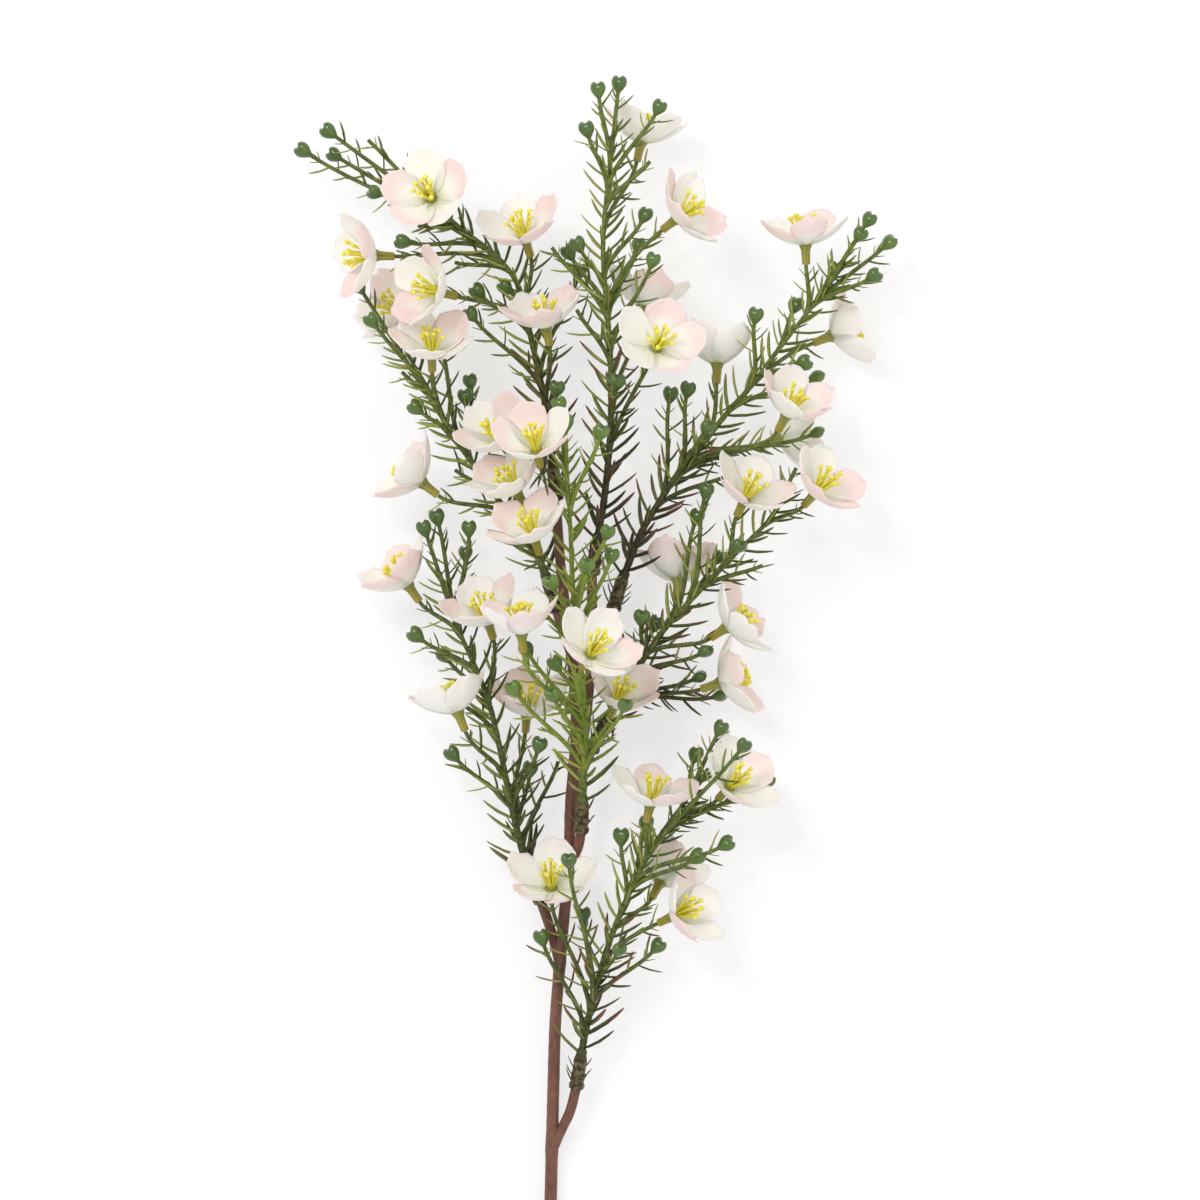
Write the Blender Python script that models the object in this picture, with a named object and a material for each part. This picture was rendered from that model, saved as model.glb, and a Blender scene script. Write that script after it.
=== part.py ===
"""A waxflower stem lying on a flat surface, seen from above as in its picture.

A brown forked stem carries eight green sprigs. Each sprig is one leafy body: a thick socket that
sits on a peg of the stem, a tapering rib, thin shoots, two-lobed buds and needles. Each bloom is a
body of its own on the end of a shoot: a short tube, five petals and a crown of stamens.

Units are metres, +Z is up and the surface is z = 0. Places are read on a drawing grid as seen from
above: x runs to the right, y runs towards the cut end, and the height above the surface is in mm.
"""

import math

import bmesh
import bpy
import numpy as np
from mathutils import Vector

MM = 0.001
GRID = 0.45 * MM
MID_X, MID_Y = 595.68, 771.53

STEM_RADIUS = 3.1 * MM
STEM_TIP_RADIUS = 2.2 * MM
PEG_RADIUS = 2.3 * MM
SEAT_GAP = 0.3 * MM
SOCKET_RADIUS = 3.4 * MM
SOCKET_LENGTH = 15 * MM
RIB_RADIUS = 1.7 * MM
RIB_TIP_RADIUS = 0.8 * MM
SHOOT_RADIUS = 1.1 * MM
SHOOT_FLAT = 0.68 * MM
SHOOT_LEAN = 1.45
NEEDLE_RADIUS = 0.85 * MM
NEEDLE_LENGTH = 15.5 * MM
NEEDLE_STEP = 9 * MM
SHOOT_NEEDLE_STEP = 31 * MM
SHOOT_NEEDLE_SIZE = 0.72
NEEDLE_AHEAD, NEEDLE_OUT = 0.72, 0.69
NEEDLE_SHARES = (0.3, 0.5, 0.65, 0.85, 1.0)
NEEDLE_BODY_GAP = 1.2 * MM
NEEDLE_APART = 2.6 * MM
NEEDLE_TRIES = 5
NEEDLE_RETRY_TURN = 1.1
GOLDEN_ANGLE = math.radians(137.5)

BUD_LENGTH = 8.4 * MM
BUD_WIDTH = 3.5 * MM
BUD_DEPTH = 2.8 * MM
BUD_SINK = 0.8 * MM

PETALS = 5
PETAL_LENGTH = 22.5 * MM
PETAL_HALF_WIDTH = 9 * MM
PETAL_THICKNESS = 0.65 * MM
THROAT_RADIUS = 2.2 * MM
TUBE_LENGTH = 9 * MM
TUBE_BASE_RADIUS = 1.7 * MM
STAMEN_LENGTH = 13 * MM
LOWEST_CLEARANCE = 1.5 * MM
BODY_CLEARANCE = 1.1 * MM
SIDE_DRIFT = 5 * MM
BEND_ROUNDS = 240
RIB_STEP = 5 * MM
COARSE_RIB_STEP = 22 * MM
STEM_STEP = 34 * MM
ON_SURFACE = None

BROWN = (0.165, 0.075, 0.045, 1)
GREEN = (0.055, 0.13, 0.03, 1)
PETAL_WHITE = (0.86, 0.8, 0.72, 1)

# The main stem from its cut end, then the side branch that carries the two upper right sprigs.
STEM = (
    (548, 1467, 3.1), (549, 1330, 4.2), (550, 1220, 6), (552, 1140, 8.4), (554, 1060, 12), (557, 990, 16),
    (563, 930, 20), (568, 870, 24), (571, 800, 28), (576, 735, 31), (572, 660, 33), (564, 600, 34),
    (559, 545, 34),
)
STEM_BRANCH = ((571, 815, 27), (582, 750, 27), (589, 690, 28), (592, 640, 31), (592, 600, 37))
ENDS = {"sprig_left_top": STEM, "sprig_top": STEM_BRANCH}

# Each sprig: its peg's foot on the stem, its rib's route, its blooms, its buds and its bare leafy tips.
# A bloom is number, throat x, y, height, heading and rise in degrees, and how far it has opened.
SPRIGS = {
    "sprig_low_right": {
        "peg": (553, 1150, 8),
        "rib": (
            (576, 1090, 14), (584, 1040, 20), (597, 985, 28), (612, 935, 34), (633, 885, 39),
            (657, 840, 42), (686, 800, 44), (708, 768, 45),
        ),
        "blooms": (
            (34, 558, 892, 34, 92, 42, 1.0), (35, 650, 803, 54, 78, 18, 1.0),
            (36, 727, 785, 43, 48, 36, 1.0), (37, 660, 884, 22, 62, -30, 0.9),
            (38, 674, 914, 36, 26, 30, 0.9),
        ),
        "buds": (
            (718, 738, 46), (738, 751, 78), (761, 786, 34), (693, 763, 34), (645, 832, 24),
            (621, 846, 38), (689, 863, 44), (718, 848, 48), (584, 924, 16), (569, 866, 70),
            (544, 947, 24), (616, 955, 46), (652, 953, 28),
        ),
        "tips": ((730, 800, 30),),
    },
    "sprig_low_left": {
        "peg": (560, 965, 18),
        "rib": (
            (541, 903, 20), (533, 882, 23), (524, 858, 26), (515, 822, 30), (507, 785, 33),
            (499, 745, 36), (491, 710, 38), (480, 678, 39), (463, 640, 40), (449, 605, 40),
            (440, 572, 40),
        ),
        "blooms": (
            (29, 408, 585, 40, 125, 8, 0.9), (30, 488, 622, 53, 108, 30, 0.9),
            (32, 458, 712, 52, 112, -4, 0.9), (33, 527, 714, 24, 86, 24, 0.9),
        ),
        "buds": (
            (427, 537, 44), (439, 526, 36), (469, 537, 40), (465, 561, 30), (423, 641, 34),
            (449, 662, 26), (458, 761, 34), (537, 753, 40), (529, 778, 26),
        ),
        "tips": ((558, 762, 18), (444, 690, 26)),
    },
    "sprig_front": {
        "peg": (569, 868, 25),
        "rib": (
            (581, 832, 34), (583, 795, 43), (585, 740, 55), (583, 690, 63), (578, 640, 68),
            (573, 590, 71), (571, 540, 72), (568, 490, 72), (563, 450, 72),
        ),
        "blooms": ((22, 590, 655, 96, 58, 42, 1.0), (31, 522, 633, 90, 95, 14, 0.9)),
        "buds": (
            (560, 414, 66), (566, 433, 76), (599, 441, 86), (605, 540, 88), (609, 564, 62),
            (586, 574, 88), (555, 590, 84), (539, 605, 70), (531, 657, 60), (519, 696, 62),
            (556, 701, 78), (560, 671, 62), (622, 711, 80),
        ),
        "tips": ((556, 470, 62),),
    },
    "sprig_right": {
        "peg": (572, 798, 27),
        "rib": (
            (591, 752, 16), (604, 725, 18), (618, 702, 22), (634, 675, 29), (648, 652, 36),
            (666, 627, 39), (687, 604, 42), (712, 578, 45), (741, 548, 47), (769, 520, 48),
            (790, 490, 48),
        ),
        "blooms": (
            (17, 815, 493, 54, 48, 30, 1.0), (18, 744, 500, 62, 64, 30, 1.0),
            (19, 678, 580, 16, 86, -24, 0.9), (20, 727, 626, 42, 34, 12, 1.0),
            (21, 720, 683, 26, 18, 6, 1.0), (23, 616, 703, 45, 66, 40, 0.8),
        ),
        "buds": (
            (704, 499, 46), (694, 525, 36), (714, 564, 34), (733, 552, 64), (698, 655, 48),
            (692, 681, 22), (712, 698, 16), (641, 626, 42), (652, 632, 24),
        ),
        "tips": ((761, 568, 58), (796, 468, 46)),
    },
    "sprig_left": {
        "peg": (572, 655, 33),
        "rib": (
            (557, 612, 29), (548, 583, 28), (538, 558, 29), (520, 530, 32), (500, 502, 36),
            (484, 478, 38), (467, 456, 39), (448, 426, 40), (433, 397, 40), (418, 372, 40),
            (405, 350, 40),
        ),
        "blooms": (
            (5, 404, 312, ON_SURFACE, 150, 24, 0.9), (6, 432, 355, 58, 92, 34, 1.0),
            (26, 513, 486, 69, 122, 26, 0.88), (27, 534, 533, 78, 108, 28, 0.98),
            (28, 422, 483, 42, 142, 4, 0.9),
        ),
        "buds": (
            (363, 293, 30), (377, 328, 46), (471, 389, 30), (466, 405, 36), (422, 413, 34),
        ),
        "tips": (
            (436, 420, 52), (455, 470, 26), (402, 372, 30),
        ),
    },
    "sprig_right_top": {
        "peg": (592, 650, 30),
        "rib": (
            (613, 610, 26), (621, 583, 27), (630, 560, 29), (641, 533, 31), (656, 507, 33),
            (679, 472, 36), (703, 443, 38), (728, 412, 40), (752, 385, 42), (778, 350, 43),
            (800, 322, 43), (825, 290, 43), (846, 262, 43),
        ),
        "blooms": (
            (12, 717, 364, 40, 88, -12, 0.8), (13, 805, 245, 48, 92, 4, 1.0),
            (14, 832, 335, ON_SURFACE, 22, -6, 0.9), (15, 786, 415, 60, 62, 26, 0.8),
            (16, 781, 440, 26, 16, -18, 0.9),
        ),
        "buds": (
            (754, 324, 50), (864, 227, 44), (855, 242, 54), (882, 249, 40), (866, 281, 54),
            (792, 313, 34), (795, 367, 48), (808, 381, 34), (809, 436, 48), (686, 398, 46),
            (669, 403, 30), (703, 434, 54),
        ),
        "tips": ((740, 470, 28), (835, 262, 34)),
    },
    "sprig_top": {
        "peg": None,
        "rib": (
            (592, 574, 42), (598, 535, 46), (604, 500, 49), (609, 450, 51), (611, 400, 52),
            (610, 350, 52), (606, 300, 51), (603, 250, 50), (606, 200, 49), (612, 150, 48),
            (616, 122, 48),
        ),
        "blooms": (
            (8, 641, 141, 24, 78, -8, 1.0), (9, 677, 219, 50, 38, 24, 1.0),
            (10, 643, 306, 26, 78, -14, 0.9), (11, 656, 350, 80, 66, 58, 1.1),
        ),
        "buds": (
            (599, 99, 52), (618, 93, 46), (655, 116, 58), (589, 139, 56), (641, 223, 44),
            (636, 252, 34), (650, 269, 60), (616, 391, 66), (573, 260, 42), (582, 253, 54),
        ),
        "tips": (
            (650, 162, 50), (552, 248, 48), (575, 310, 60),
        ),
    },
    "sprig_left_top": {
        "peg": None,
        "rib": (
            (556, 501, 34), (551, 450, 35), (545, 405, 36), (538, 370, 37), (531, 338, 38),
            (519, 288, 39), (500, 260, 40), (478, 242, 41), (452, 224, 41), (422, 200, 41),
            (398, 182, 41),
        ),
        "blooms": (
            (1, 432, 200, 64, 132, 62, 1.0), (2, 375, 256, 46, 178, 18, 1.0),
            (3, 525, 240, 50, 108, 28, 1.0), (4, 440, 293, 56, 166, 32, 0.9),
            (7, 548, 328, 60, 100, 18, 1.0), (24, 507, 450, 50, 120, 36, 0.8),
            (25, 536, 452, 88, 104, 38, 0.85),
        ),
        "buds": (
            (336, 137, 42), (311, 156, 46), (341, 159, 34), (383, 195, 44), (412, 244, 50),
            (484, 298, 34), (511, 293, 38), (476, 321, 42), (556, 397, 46), (577, 279, 30),
        ),
        "tips": (
            (368, 140, 40), (418, 226, 44), (455, 262, 30),
        ),
    },
}


def place(x, y, height):
    return Vector(((x - MID_X) * GRID, (MID_Y - y) * GRID, height * MM))


def heading(turn, rise):
    """The unit vector at a turn from +X in the surface's plane and a rise above it, in degrees."""
    turn, rise = math.radians(turn), math.radians(rise)
    return Vector((math.cos(rise) * math.cos(turn), math.cos(rise) * math.sin(turn), math.sin(rise)))


def smooth_route(points, step):
    """Evenly spaced points on a Catmull-Rom curve through the given ones."""
    ends = [2 * points[0] - points[1], *points, 2 * points[-1] - points[-2]]
    fine = []
    for a, b, c, d in zip(ends, ends[1:], ends[2:], ends[3:]):
        for k in range(16):
            t = k / 16
            fine.append(0.5 * (
                2 * b + (c - a) * t + (2 * a - 5 * b + 4 * c - d) * t**2 + (3 * b - a - 3 * c + d) * t**3
            ))
    fine.append(points[-1].copy())
    line = np.array(fine)
    along = np.concatenate([[0], np.cumsum(np.linalg.norm(np.diff(line, axis=0), axis=1))])
    count = max(2, round(along[-1] / step))
    at = np.linspace(0, along[-1], count + 1)
    return [Vector(p) for p in np.stack([np.interp(at, along, line[:, k]) for k in range(3)], axis=1)]


def bend(start, lean, lean_end, end, count):
    """Points on a cubic curve with the given handles."""
    out = []
    for k in range(count + 1):
        t = k / count
        s = 1 - t
        out.append(s**3 * start + 3 * s * s * t * lean + 3 * s * t * t * lean_end + t**3 * end)
    return out


def tangents(points):
    ends = [points[0], *points, points[-1]]
    return [(c - a).normalized() for a, c in zip(ends, ends[2:])]


def across(direction, hint):
    """Two unit vectors square to a direction, the first as near the hint as can be."""
    first = (hint - hint.dot(direction) * direction).normalized()
    return first, direction.cross(first)


def tube(points, radii, sides, hint=Vector((0, 0, 1)), last=None):
    """A closed tube whose flats lie at the stated radius. Its last end is square to the last direction."""
    grow = 1 / math.cos(math.pi / sides)
    verts, faces = [], []
    leans = tangents(points)
    if last:
        leans[-1] = last
    for point, tangent, radius in zip(points, leans, radii):
        up, side = across(tangent, hint)
        for k in range(sides):
            a = 2 * math.pi * (k + 0.5) / sides
            verts.append(point + grow * radius * (math.cos(a) * up + math.sin(a) * side))
    for ring in range(len(points) - 1):
        for k in range(sides):
            a, b = ring * sides + k, ring * sides + (k + 1) % sides
            faces.append((a, b, b + sides, a + sides))
    top = (len(points) - 1) * sides
    faces.append(tuple(range(sides))[::-1])
    faces.append(tuple(range(top, top + sides)))
    return verts, faces


def needle(root, tip, hint):
    """A three-sided spike whose foot is sunk into what it grows from."""
    direction = (tip - root).normalized()
    up, side = across(direction, hint)
    verts = []
    for k in range(3):
        a = 2 * math.pi * k / 3
        verts.append(root + NEEDLE_RADIUS * (math.cos(a) * up + math.sin(a) * side))
    return [*verts, tip], [(2, 1, 0), (0, 1, 3), (1, 2, 3), (2, 0, 3)]


def bud(foot, direction, hint):
    """A heart: it widens from its stalk and ends in two lobes with a valley between them."""
    wide, deep = across(direction, hint)
    verts = [foot]
    for k in range(6):
        a = math.pi * k / 3
        out = BUD_WIDTH * math.cos(a) * wide + BUD_DEPTH * math.sin(a) * deep
        verts.append(foot + 0.6 * BUD_LENGTH * direction + out)
    for along, width in ((1.0, 0.5), (1.0, -0.5), (0.84, 0.0)):
        verts.append(foot + along * BUD_LENGTH * direction + width * BUD_WIDTH * wide)
    right, left, valley = 7, 8, 9
    faces = [(0, 1 + (k + 1) % 6, 1 + k) for k in range(6)]
    faces += [(1, 2, right), (6, 1, right), (2, valley, right), (valley, 6, right)]
    faces += [(3, 4, left), (4, 5, left), (5, valley, left), (valley, 3, left)]
    faces += [(2, 3, valley), (5, 6, valley)]
    return verts, faces


def petal_point(along, side, opened, twist):
    """A point of one petal: along runs 0 to 1 from the throat, side -1 to 1 across it.

    It is returned as distance out from the bloom's axis, sideways, and height over the throat."""
    lean, curl = math.radians(76 * opened), math.radians(44 * opened)
    steps = 8
    out, up = THROAT_RADIUS, 0.0
    for k in range(steps):
        angle = lean - curl * along * (k + 0.5) / steps
        out += PETAL_LENGTH * along / steps * math.sin(angle)
        up += PETAL_LENGTH * along / steps * math.cos(angle)
    width = PETAL_HALF_WIDTH * math.sin(math.pi * (0.1 + 0.66 * along)) ** 0.8
    rise = 0.24 * width * side * side
    return out - 0.4 * rise, side * width, up + rise + twist * side * width * along


def bloom(throat, axis, opened, seed):
    """One closed body: five petals as one lobed sheet, the tube under it and the stamens on it."""
    draw = np.random.default_rng(seed)
    hint, other = across(axis, Vector((0.3, 0.2, 1)))
    spin = draw.uniform(0, 2 * math.pi / PETALS)
    verts, faces = [], []

    def add(out, side, height, turn):
        a = spin + turn
        radial = math.cos(a) * hint + math.sin(a) * other
        verts.append(throat + out * radial + side * axis.cross(radial) + height * axis)
        return len(verts) - 1

    rim_spots = ((0.66, -0.97), (0.98, -0.5), (0.98, 0.5), (0.66, 0.97))
    sheets = []
    twists = [draw.uniform(-0.16, 0.16) for _ in range(PETALS)]
    swings = [opened * draw.uniform(0.9, 1.1) for _ in range(PETALS)]
    for drop in (0, PETAL_THICKNESS):
        rim, middle, inner = [], [], []
        for k in range(PETALS):
            turn = 2 * math.pi * k / PETALS
            half = math.pi / PETALS
            for along, side in rim_spots:
                out, sideways, up = petal_point(along, side, swings[k], twists[k])
                rim.append(add(out + 0.5 * drop, sideways, up - drop, turn))
            notch_out, _, notch_up = petal_point(0.36, 0, opened, 0)
            rim.append(add(notch_out + 0.5 * drop, 0, notch_up - drop + 0.8 * MM, turn + half))
            out, _, up = petal_point(0.5, 0, swings[k], 0)
            middle.append(add(out + 0.5 * drop, 0, up - drop - 0.6 * MM, turn))
            inner.append(add(THROAT_RADIUS, 0, -1.5 * drop, turn + half))
        sheets.append((rim, middle, inner))
    for (rim, middle, inner), flip in zip(sheets, (1, -1)):
        for k in range(PETALS):
            spots = rim[5 * k - 1:5 * k] or rim[-1:]
            spots = [*spots, *rim[5 * k:5 * k + 5]]
            centre = middle[k]
            fan = [(centre, spots[a], spots[a + 1]) for a in range(5)]
            fan += [(inner[k - 1], spots[0], centre), (inner[k - 1], centre, inner[k])]
            fan.append((inner[k], centre, spots[5]))
            faces += [face[::-flip] for face in fan]
    top, under = sheets[0][0], sheets[1][0]
    for k in range(len(top)):
        j = (k + 1) % len(top)
        faces.append((top[k], under[k], under[j], top[j]))
    crown(throat, axis, sheets[0][2], verts, faces, draw)
    foot = []
    for k in range(PETALS):
        foot.append(add(TUBE_BASE_RADIUS, 0, -TUBE_LENGTH, 2 * math.pi * (k + 0.5) / PETALS))
    ring = sheets[1][2]
    for k in range(PETALS):
        j = (k + 1) % PETALS
        faces.append((ring[k], foot[k], foot[j], ring[j]))
    faces.append(tuple(foot)[::-1])
    return verts, faces


def crown(throat, axis, ring, verts, faces, draw):
    """Five stamens: each grows from its share of the throat and ends in a small club."""
    verts.append(throat + 0.6 * MM * axis)
    centre = len(verts) - 1
    for k, first in enumerate(ring):
        second = ring[(k + 1) % PETALS]
        foot = (verts[first] + verts[second]) / 2 - throat
        out = (foot - foot.dot(axis) * axis).normalized()
        side = axis.cross(out)
        reach = STAMEN_LENGTH * draw.uniform(0.8, 1.1)
        head = throat + reach * (0.88 * axis + draw.uniform(0.3, 0.6) * out + draw.uniform(-0.2, 0.2) * side)
        size = 0.75 * MM
        corners = []
        for offset in (-1.0 * out, 0.6 * out - 0.8 * side, 0.6 * out + 0.8 * side):
            verts.append(head + size * offset)
            corners.append(len(verts) - 1)
        base = (centre, first, second)
        for a in range(3):
            b = (a + 1) % 3
            faces.append((base[a], base[b], corners[b], corners[a]))
        faces.append(tuple(corners))


class Shoot:
    """A thin stalk from a sprig's rib to a bloom, a bud or a leafy tip, with the place it is bent to."""

    def __init__(self, sprig, kind, spot, rib, aim=None, opened=1.0, number=0):
        self.sprig, self.kind, self.number, self.opened = sprig, kind, number, opened
        self.axis = aim
        self.fixed = spot[2] is ON_SURFACE
        self.spot = place(spot[0], spot[1], 0 if self.fixed else spot[2])
        self.lowest = 3.5 * MM
        self.load = []
        if kind == "bloom":
            verts, faces = bloom(Vector(), aim, opened, number)
            self.lowest = -min(v.z for v in verts)
            self.spot.z = self.lowest if self.fixed else max(self.spot.z, self.lowest + LOWEST_CLEARANCE)
            self.load += [(-k * TUBE_LENGTH * aim, 2.2 * MM) for k in (0.1, 0.45, 0.8)]
            for a, b, c in faces[:8 * PETALS]:
                a, b, c = verts[a], verts[b], verts[c]
                self.load += [((a + b + c) / 3, 1.3 * MM), ((a + b) / 2, 1.2 * MM), ((b + c) / 2, 1.2 * MM)]
            clubs = verts[14 * PETALS + 1:17 * PETALS + 1]
            for k in (0.25, 0.5, 0.75, 1.0):
                self.load.append((0.75 * k * STAMEN_LENGTH * aim, (1.5 + 3 * k) * MM))
            self.load += [(k * corner, 0.8 * MM) for corner in clubs for k in (0.6, 1.0)]
        self.first = self.spot.copy()
        self.root(rib)

    def root(self, rib):
        """The shoot leaves the rib well before its own end, so that it leans forward."""
        end = self.end()
        line = np.array(rib)
        gaps = np.linalg.norm(line - np.array(end), axis=1)
        nearest = int(gaps.argmin())
        step = (rib[1] - rib[0]).length
        back = nearest - round(SHOOT_LEAN * gaps[nearest] / step)
        first = round(SOCKET_LENGTH / step) + 2
        self.at = min(max(back, first + self.number % 3), len(rib) - 3)
        self.start, self.lean = rib[self.at], tangents(rib)[self.at]

    def end(self):
        return self.spot - (TUBE_LENGTH + SEAT_GAP) * self.axis if self.kind == "bloom" else self.spot

    def ahead(self):
        if self.kind == "bloom":
            return self.axis
        return ((self.spot - self.start).normalized() + 0.25 * self.lean).normalized()

    def line(self):
        end = self.end()
        chord = end - self.start
        reach = chord.length
        handle = self.start + 0.36 * reach * (0.62 * self.lean + 0.38 * chord.normalized())
        return bend(self.start, handle, end - 0.3 * reach * self.ahead(), end, 3 if reach > 44 * MM else 2)

    def balls(self):
        """Balls that fill the shoot and what it carries: centre, radius, body, and how far it bends."""
        found = []
        line = self.line()
        for k in range(4 * len(line) - 3):
            share = k / (4 * len(line) - 4)
            first = min(k // 4, len(line) - 2)
            point = line[first].lerp(line[first + 1], k / 4 - first)
            found.append((point, SHOOT_RADIUS, self.sprig, share * share * (3 - 2 * share)))
        if self.kind == "bud":
            for k in (0.4, 0.7):
                found.append((self.spot + k * BUD_LENGTH * self.ahead(), 3.2 * MM, self.sprig, 1.0))
        body = f"bloom_{self.number:02d}"
        return found + [(self.spot + offset, radius, body, 1.0) for offset, radius in self.load]

    def nudge(self, push):
        """Moves the shoot's end, mostly up or down, and keeps it near its drawn place and off the surface."""
        self.spot += Vector((0.6 * push.x, 0.6 * push.y, push.z))
        for axis in (0, 1):
            drift = self.spot[axis] - self.first[axis]
            self.spot[axis] = self.first[axis] + min(max(drift, -SIDE_DRIFT), SIDE_DRIFT)
        self.spot.z = max(self.spot.z, self.lowest + LOWEST_CLEARANCE)


def bend_clear(shoots, fixed):
    """Bends the shoots until what they carry clears the other bodies."""
    worst = 0.0
    for _ in range(BEND_ROUNDS):
        rows = [(i, *ball) for i, shoot in enumerate(shoots) for ball in shoot.balls()]
        rows += [(-1, point, radius, body, 0.0) for point, radius, body in fixed]
        owner = np.array([row[0] for row in rows])
        centre = np.array([row[1] for row in rows])
        radius = np.array([row[2] for row in rows])
        names = {name: k for k, name in enumerate(sorted({row[3] for row in rows}))}
        body = np.array([names[row[3]] for row in rows])
        give = np.array([row[4] for row in rows])
        worst = 0.0
        for i, shoot in enumerate(shoots):
            mine = np.flatnonzero((owner == i) & (give > 0))
            margin = 6 * MM
            low, high = centre[mine].min(axis=0) - margin, centre[mine].max(axis=0) + margin
            rest = np.flatnonzero((owner != i) & ((centre > low) & (centre < high)).all(axis=1))
            apart = centre[mine][:, None] - centre[rest][None]
            gap = np.sqrt((apart**2).sum(axis=2))
            bite = radius[mine][:, None] + radius[rest][None] + BODY_CLEARANCE - gap
            bite[body[mine][:, None] == body[rest][None]] = 0
            if bite.size == 0 or bite.max() <= 0 or shoot.fixed:
                continue
            a, b = np.unravel_index(bite.argmax(), bite.shape)
            away = Vector(apart[a, b]).normalized()
            shoot.nudge(away * min(1.2 * MM, 0.5 * bite.max() / max(give[mine[a]], 0.4)))
            worst = max(worst, bite.max())
        if worst < 0.1 * MM:
            break
    return worst


def rib_radii(count, length):
    """A thick socket, a step down, then an even taper to the tip."""
    radii = []
    for k in range(count):
        at = k / (count - 1) * length
        if at < SOCKET_LENGTH:
            radii.append(SOCKET_RADIUS * (1 - 0.12 * at / SOCKET_LENGTH))
        else:
            share = (at - SOCKET_LENGTH) / (length - SOCKET_LENGTH)
            radii.append(RIB_RADIUS + (RIB_TIP_RADIUS - RIB_RADIUS) * share)
    return radii


def new_object(name, verts, faces, colour, roughness):
    mesh = bpy.data.meshes.new(name)
    mesh.from_pydata([tuple(v) for v in verts], [], faces)
    shaped = bmesh.new()
    shaped.from_mesh(mesh)
    bmesh.ops.recalc_face_normals(shaped, faces=shaped.faces)
    shaped.to_mesh(mesh)
    shaped.free()
    obj = bpy.data.objects.new(name, mesh)
    bpy.context.scene.collection.objects.link(obj)
    if colour:
        material = bpy.data.materials.get(colour[0]) or bpy.data.materials.new(colour[0])
        material.use_nodes = True
        shader = material.node_tree.nodes["Principled BSDF"]
        shader.inputs["Base Color"].default_value = colour[1]
        shader.inputs["Roughness"].default_value = roughness
        mesh.materials.append(material)
    return obj


def fuse(obj, pieces):
    """Joins the pieces to the object with one Boolean union, and removes them."""
    repeats = bpy.data.collections.new("repeats")
    for k, (verts, faces) in enumerate(pieces):
        piece = new_object(f"piece_{k}", verts, faces, None, 0)
        bpy.context.scene.collection.objects.unlink(piece)
        repeats.objects.link(piece)
    union = obj.modifiers.new("union", "BOOLEAN")
    union.operation = "UNION"
    union.operand_type = "COLLECTION"
    union.collection = repeats
    union.solver = "MANIFOLD"
    graph = bpy.context.evaluated_depsgraph_get()
    joined = bpy.data.meshes.new_from_object(obj.evaluated_get(graph))
    obj.modifiers.remove(union)
    obj.data = joined
    for piece in list(repeats.objects):
        bpy.data.objects.remove(piece)
    bpy.data.collections.remove(repeats)


def peg_line(foot, seat, lean):
    """A peg's middle line from inside the stem to its flat end at a sprig's socket."""
    reach = (seat - foot).length
    return bend(foot, foot + 0.35 * reach * (seat - foot).normalized(), seat - 0.45 * reach * lean, seat, 3)


def settled_shoots(ribs, lines):
    """Every shoot of the plan, bent clear of the others, and the balls of the ribs and stem that stay put."""
    shoots = []
    for name, plan in SPRIGS.items():
        for number, x, y, height, turn, rise, opened in plan["blooms"]:
            aim = heading(turn, rise)
            shoots.append(Shoot(name, "bloom", (x, y, height), ribs[name], aim, opened, number))
        for kind, key in (("bud", "buds"), ("tip", "tips")):
            shoots += [Shoot(name, kind, spot, ribs[name]) for spot in plan[key]]
    fixed = []
    for name, rib in ribs.items():
        dense = smooth_route(rib, 2.5 * MM)
        radii = rib_radii(len(dense), 2.5 * MM * len(dense))
        fixed += [(point, radius, name) for point, radius in zip(dense, radii)]
    for name, line in lines.items():
        radius = STEM_RADIUS if name in ENDS else PEG_RADIUS
        inside = smooth_route(line, 3 * MM)[:-2]
        fixed += [(point, radius, "main_stem") for point in inside]
    left = bend_clear(shoots, fixed)
    print(f"deepest bite left: {left / MM:.2f} mm")
    return shoots, fixed


def stem_lines(ribs):
    """The middle lines of the stem and its pegs, by the sprig that sits on each, and the sprigs' leans."""
    leans = {name: tangents(rib)[0] for name, rib in ribs.items()}
    seats = {name: rib[0] - SEAT_GAP * leans[name] for name, rib in ribs.items()}
    lines = {}
    for name, plan in ENDS.items():
        lines[name] = smooth_route([*(place(*p) for p in plan), seats[name]], STEM_STEP)
    for name, plan in SPRIGS.items():
        if plan["peg"]:
            lines[name] = peg_line(place(*plan["peg"]), seats[name], leans[name])
    return lines, leans


class Room:
    """The room that is left for needles between the bodies and among the needles grown before."""

    def __init__(self, shoots, fixed):
        balls = [ball[:3] for shoot in shoots for ball in shoot.balls()] + fixed
        self.centres = np.array([ball[0] for ball in balls])
        self.radii = np.array([ball[1] for ball in balls])
        self.bodies = np.array([ball[2] for ball in balls])
        self.grown = []

    def start(self, sprig):
        """Begins a sprig: the needles of the sprigs before it are now in the way, its own aren't."""
        self.sprig = sprig
        self.others = np.array(self.grown) if self.grown else np.empty((0, 3))

    def take(self, root, tip):
        """Keeps a needle's place and returns True, if it clears the surface and every other body."""
        spots = [np.array(root.lerp(tip, share)) for share in NEEDLE_SHARES]
        for spot in spots:
            near = np.linalg.norm(self.centres - spot, axis=1) < self.radii + NEEDLE_RADIUS + NEEDLE_BODY_GAP
            crowded = len(self.others) and (np.linalg.norm(self.others - spot, axis=1) < NEEDLE_APART).any()
            if spot[2] < LOWEST_CLEARANCE or crowded or (near & (self.bodies != self.sprig)).any():
                return False
        self.grown += spots
        return True


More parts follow.
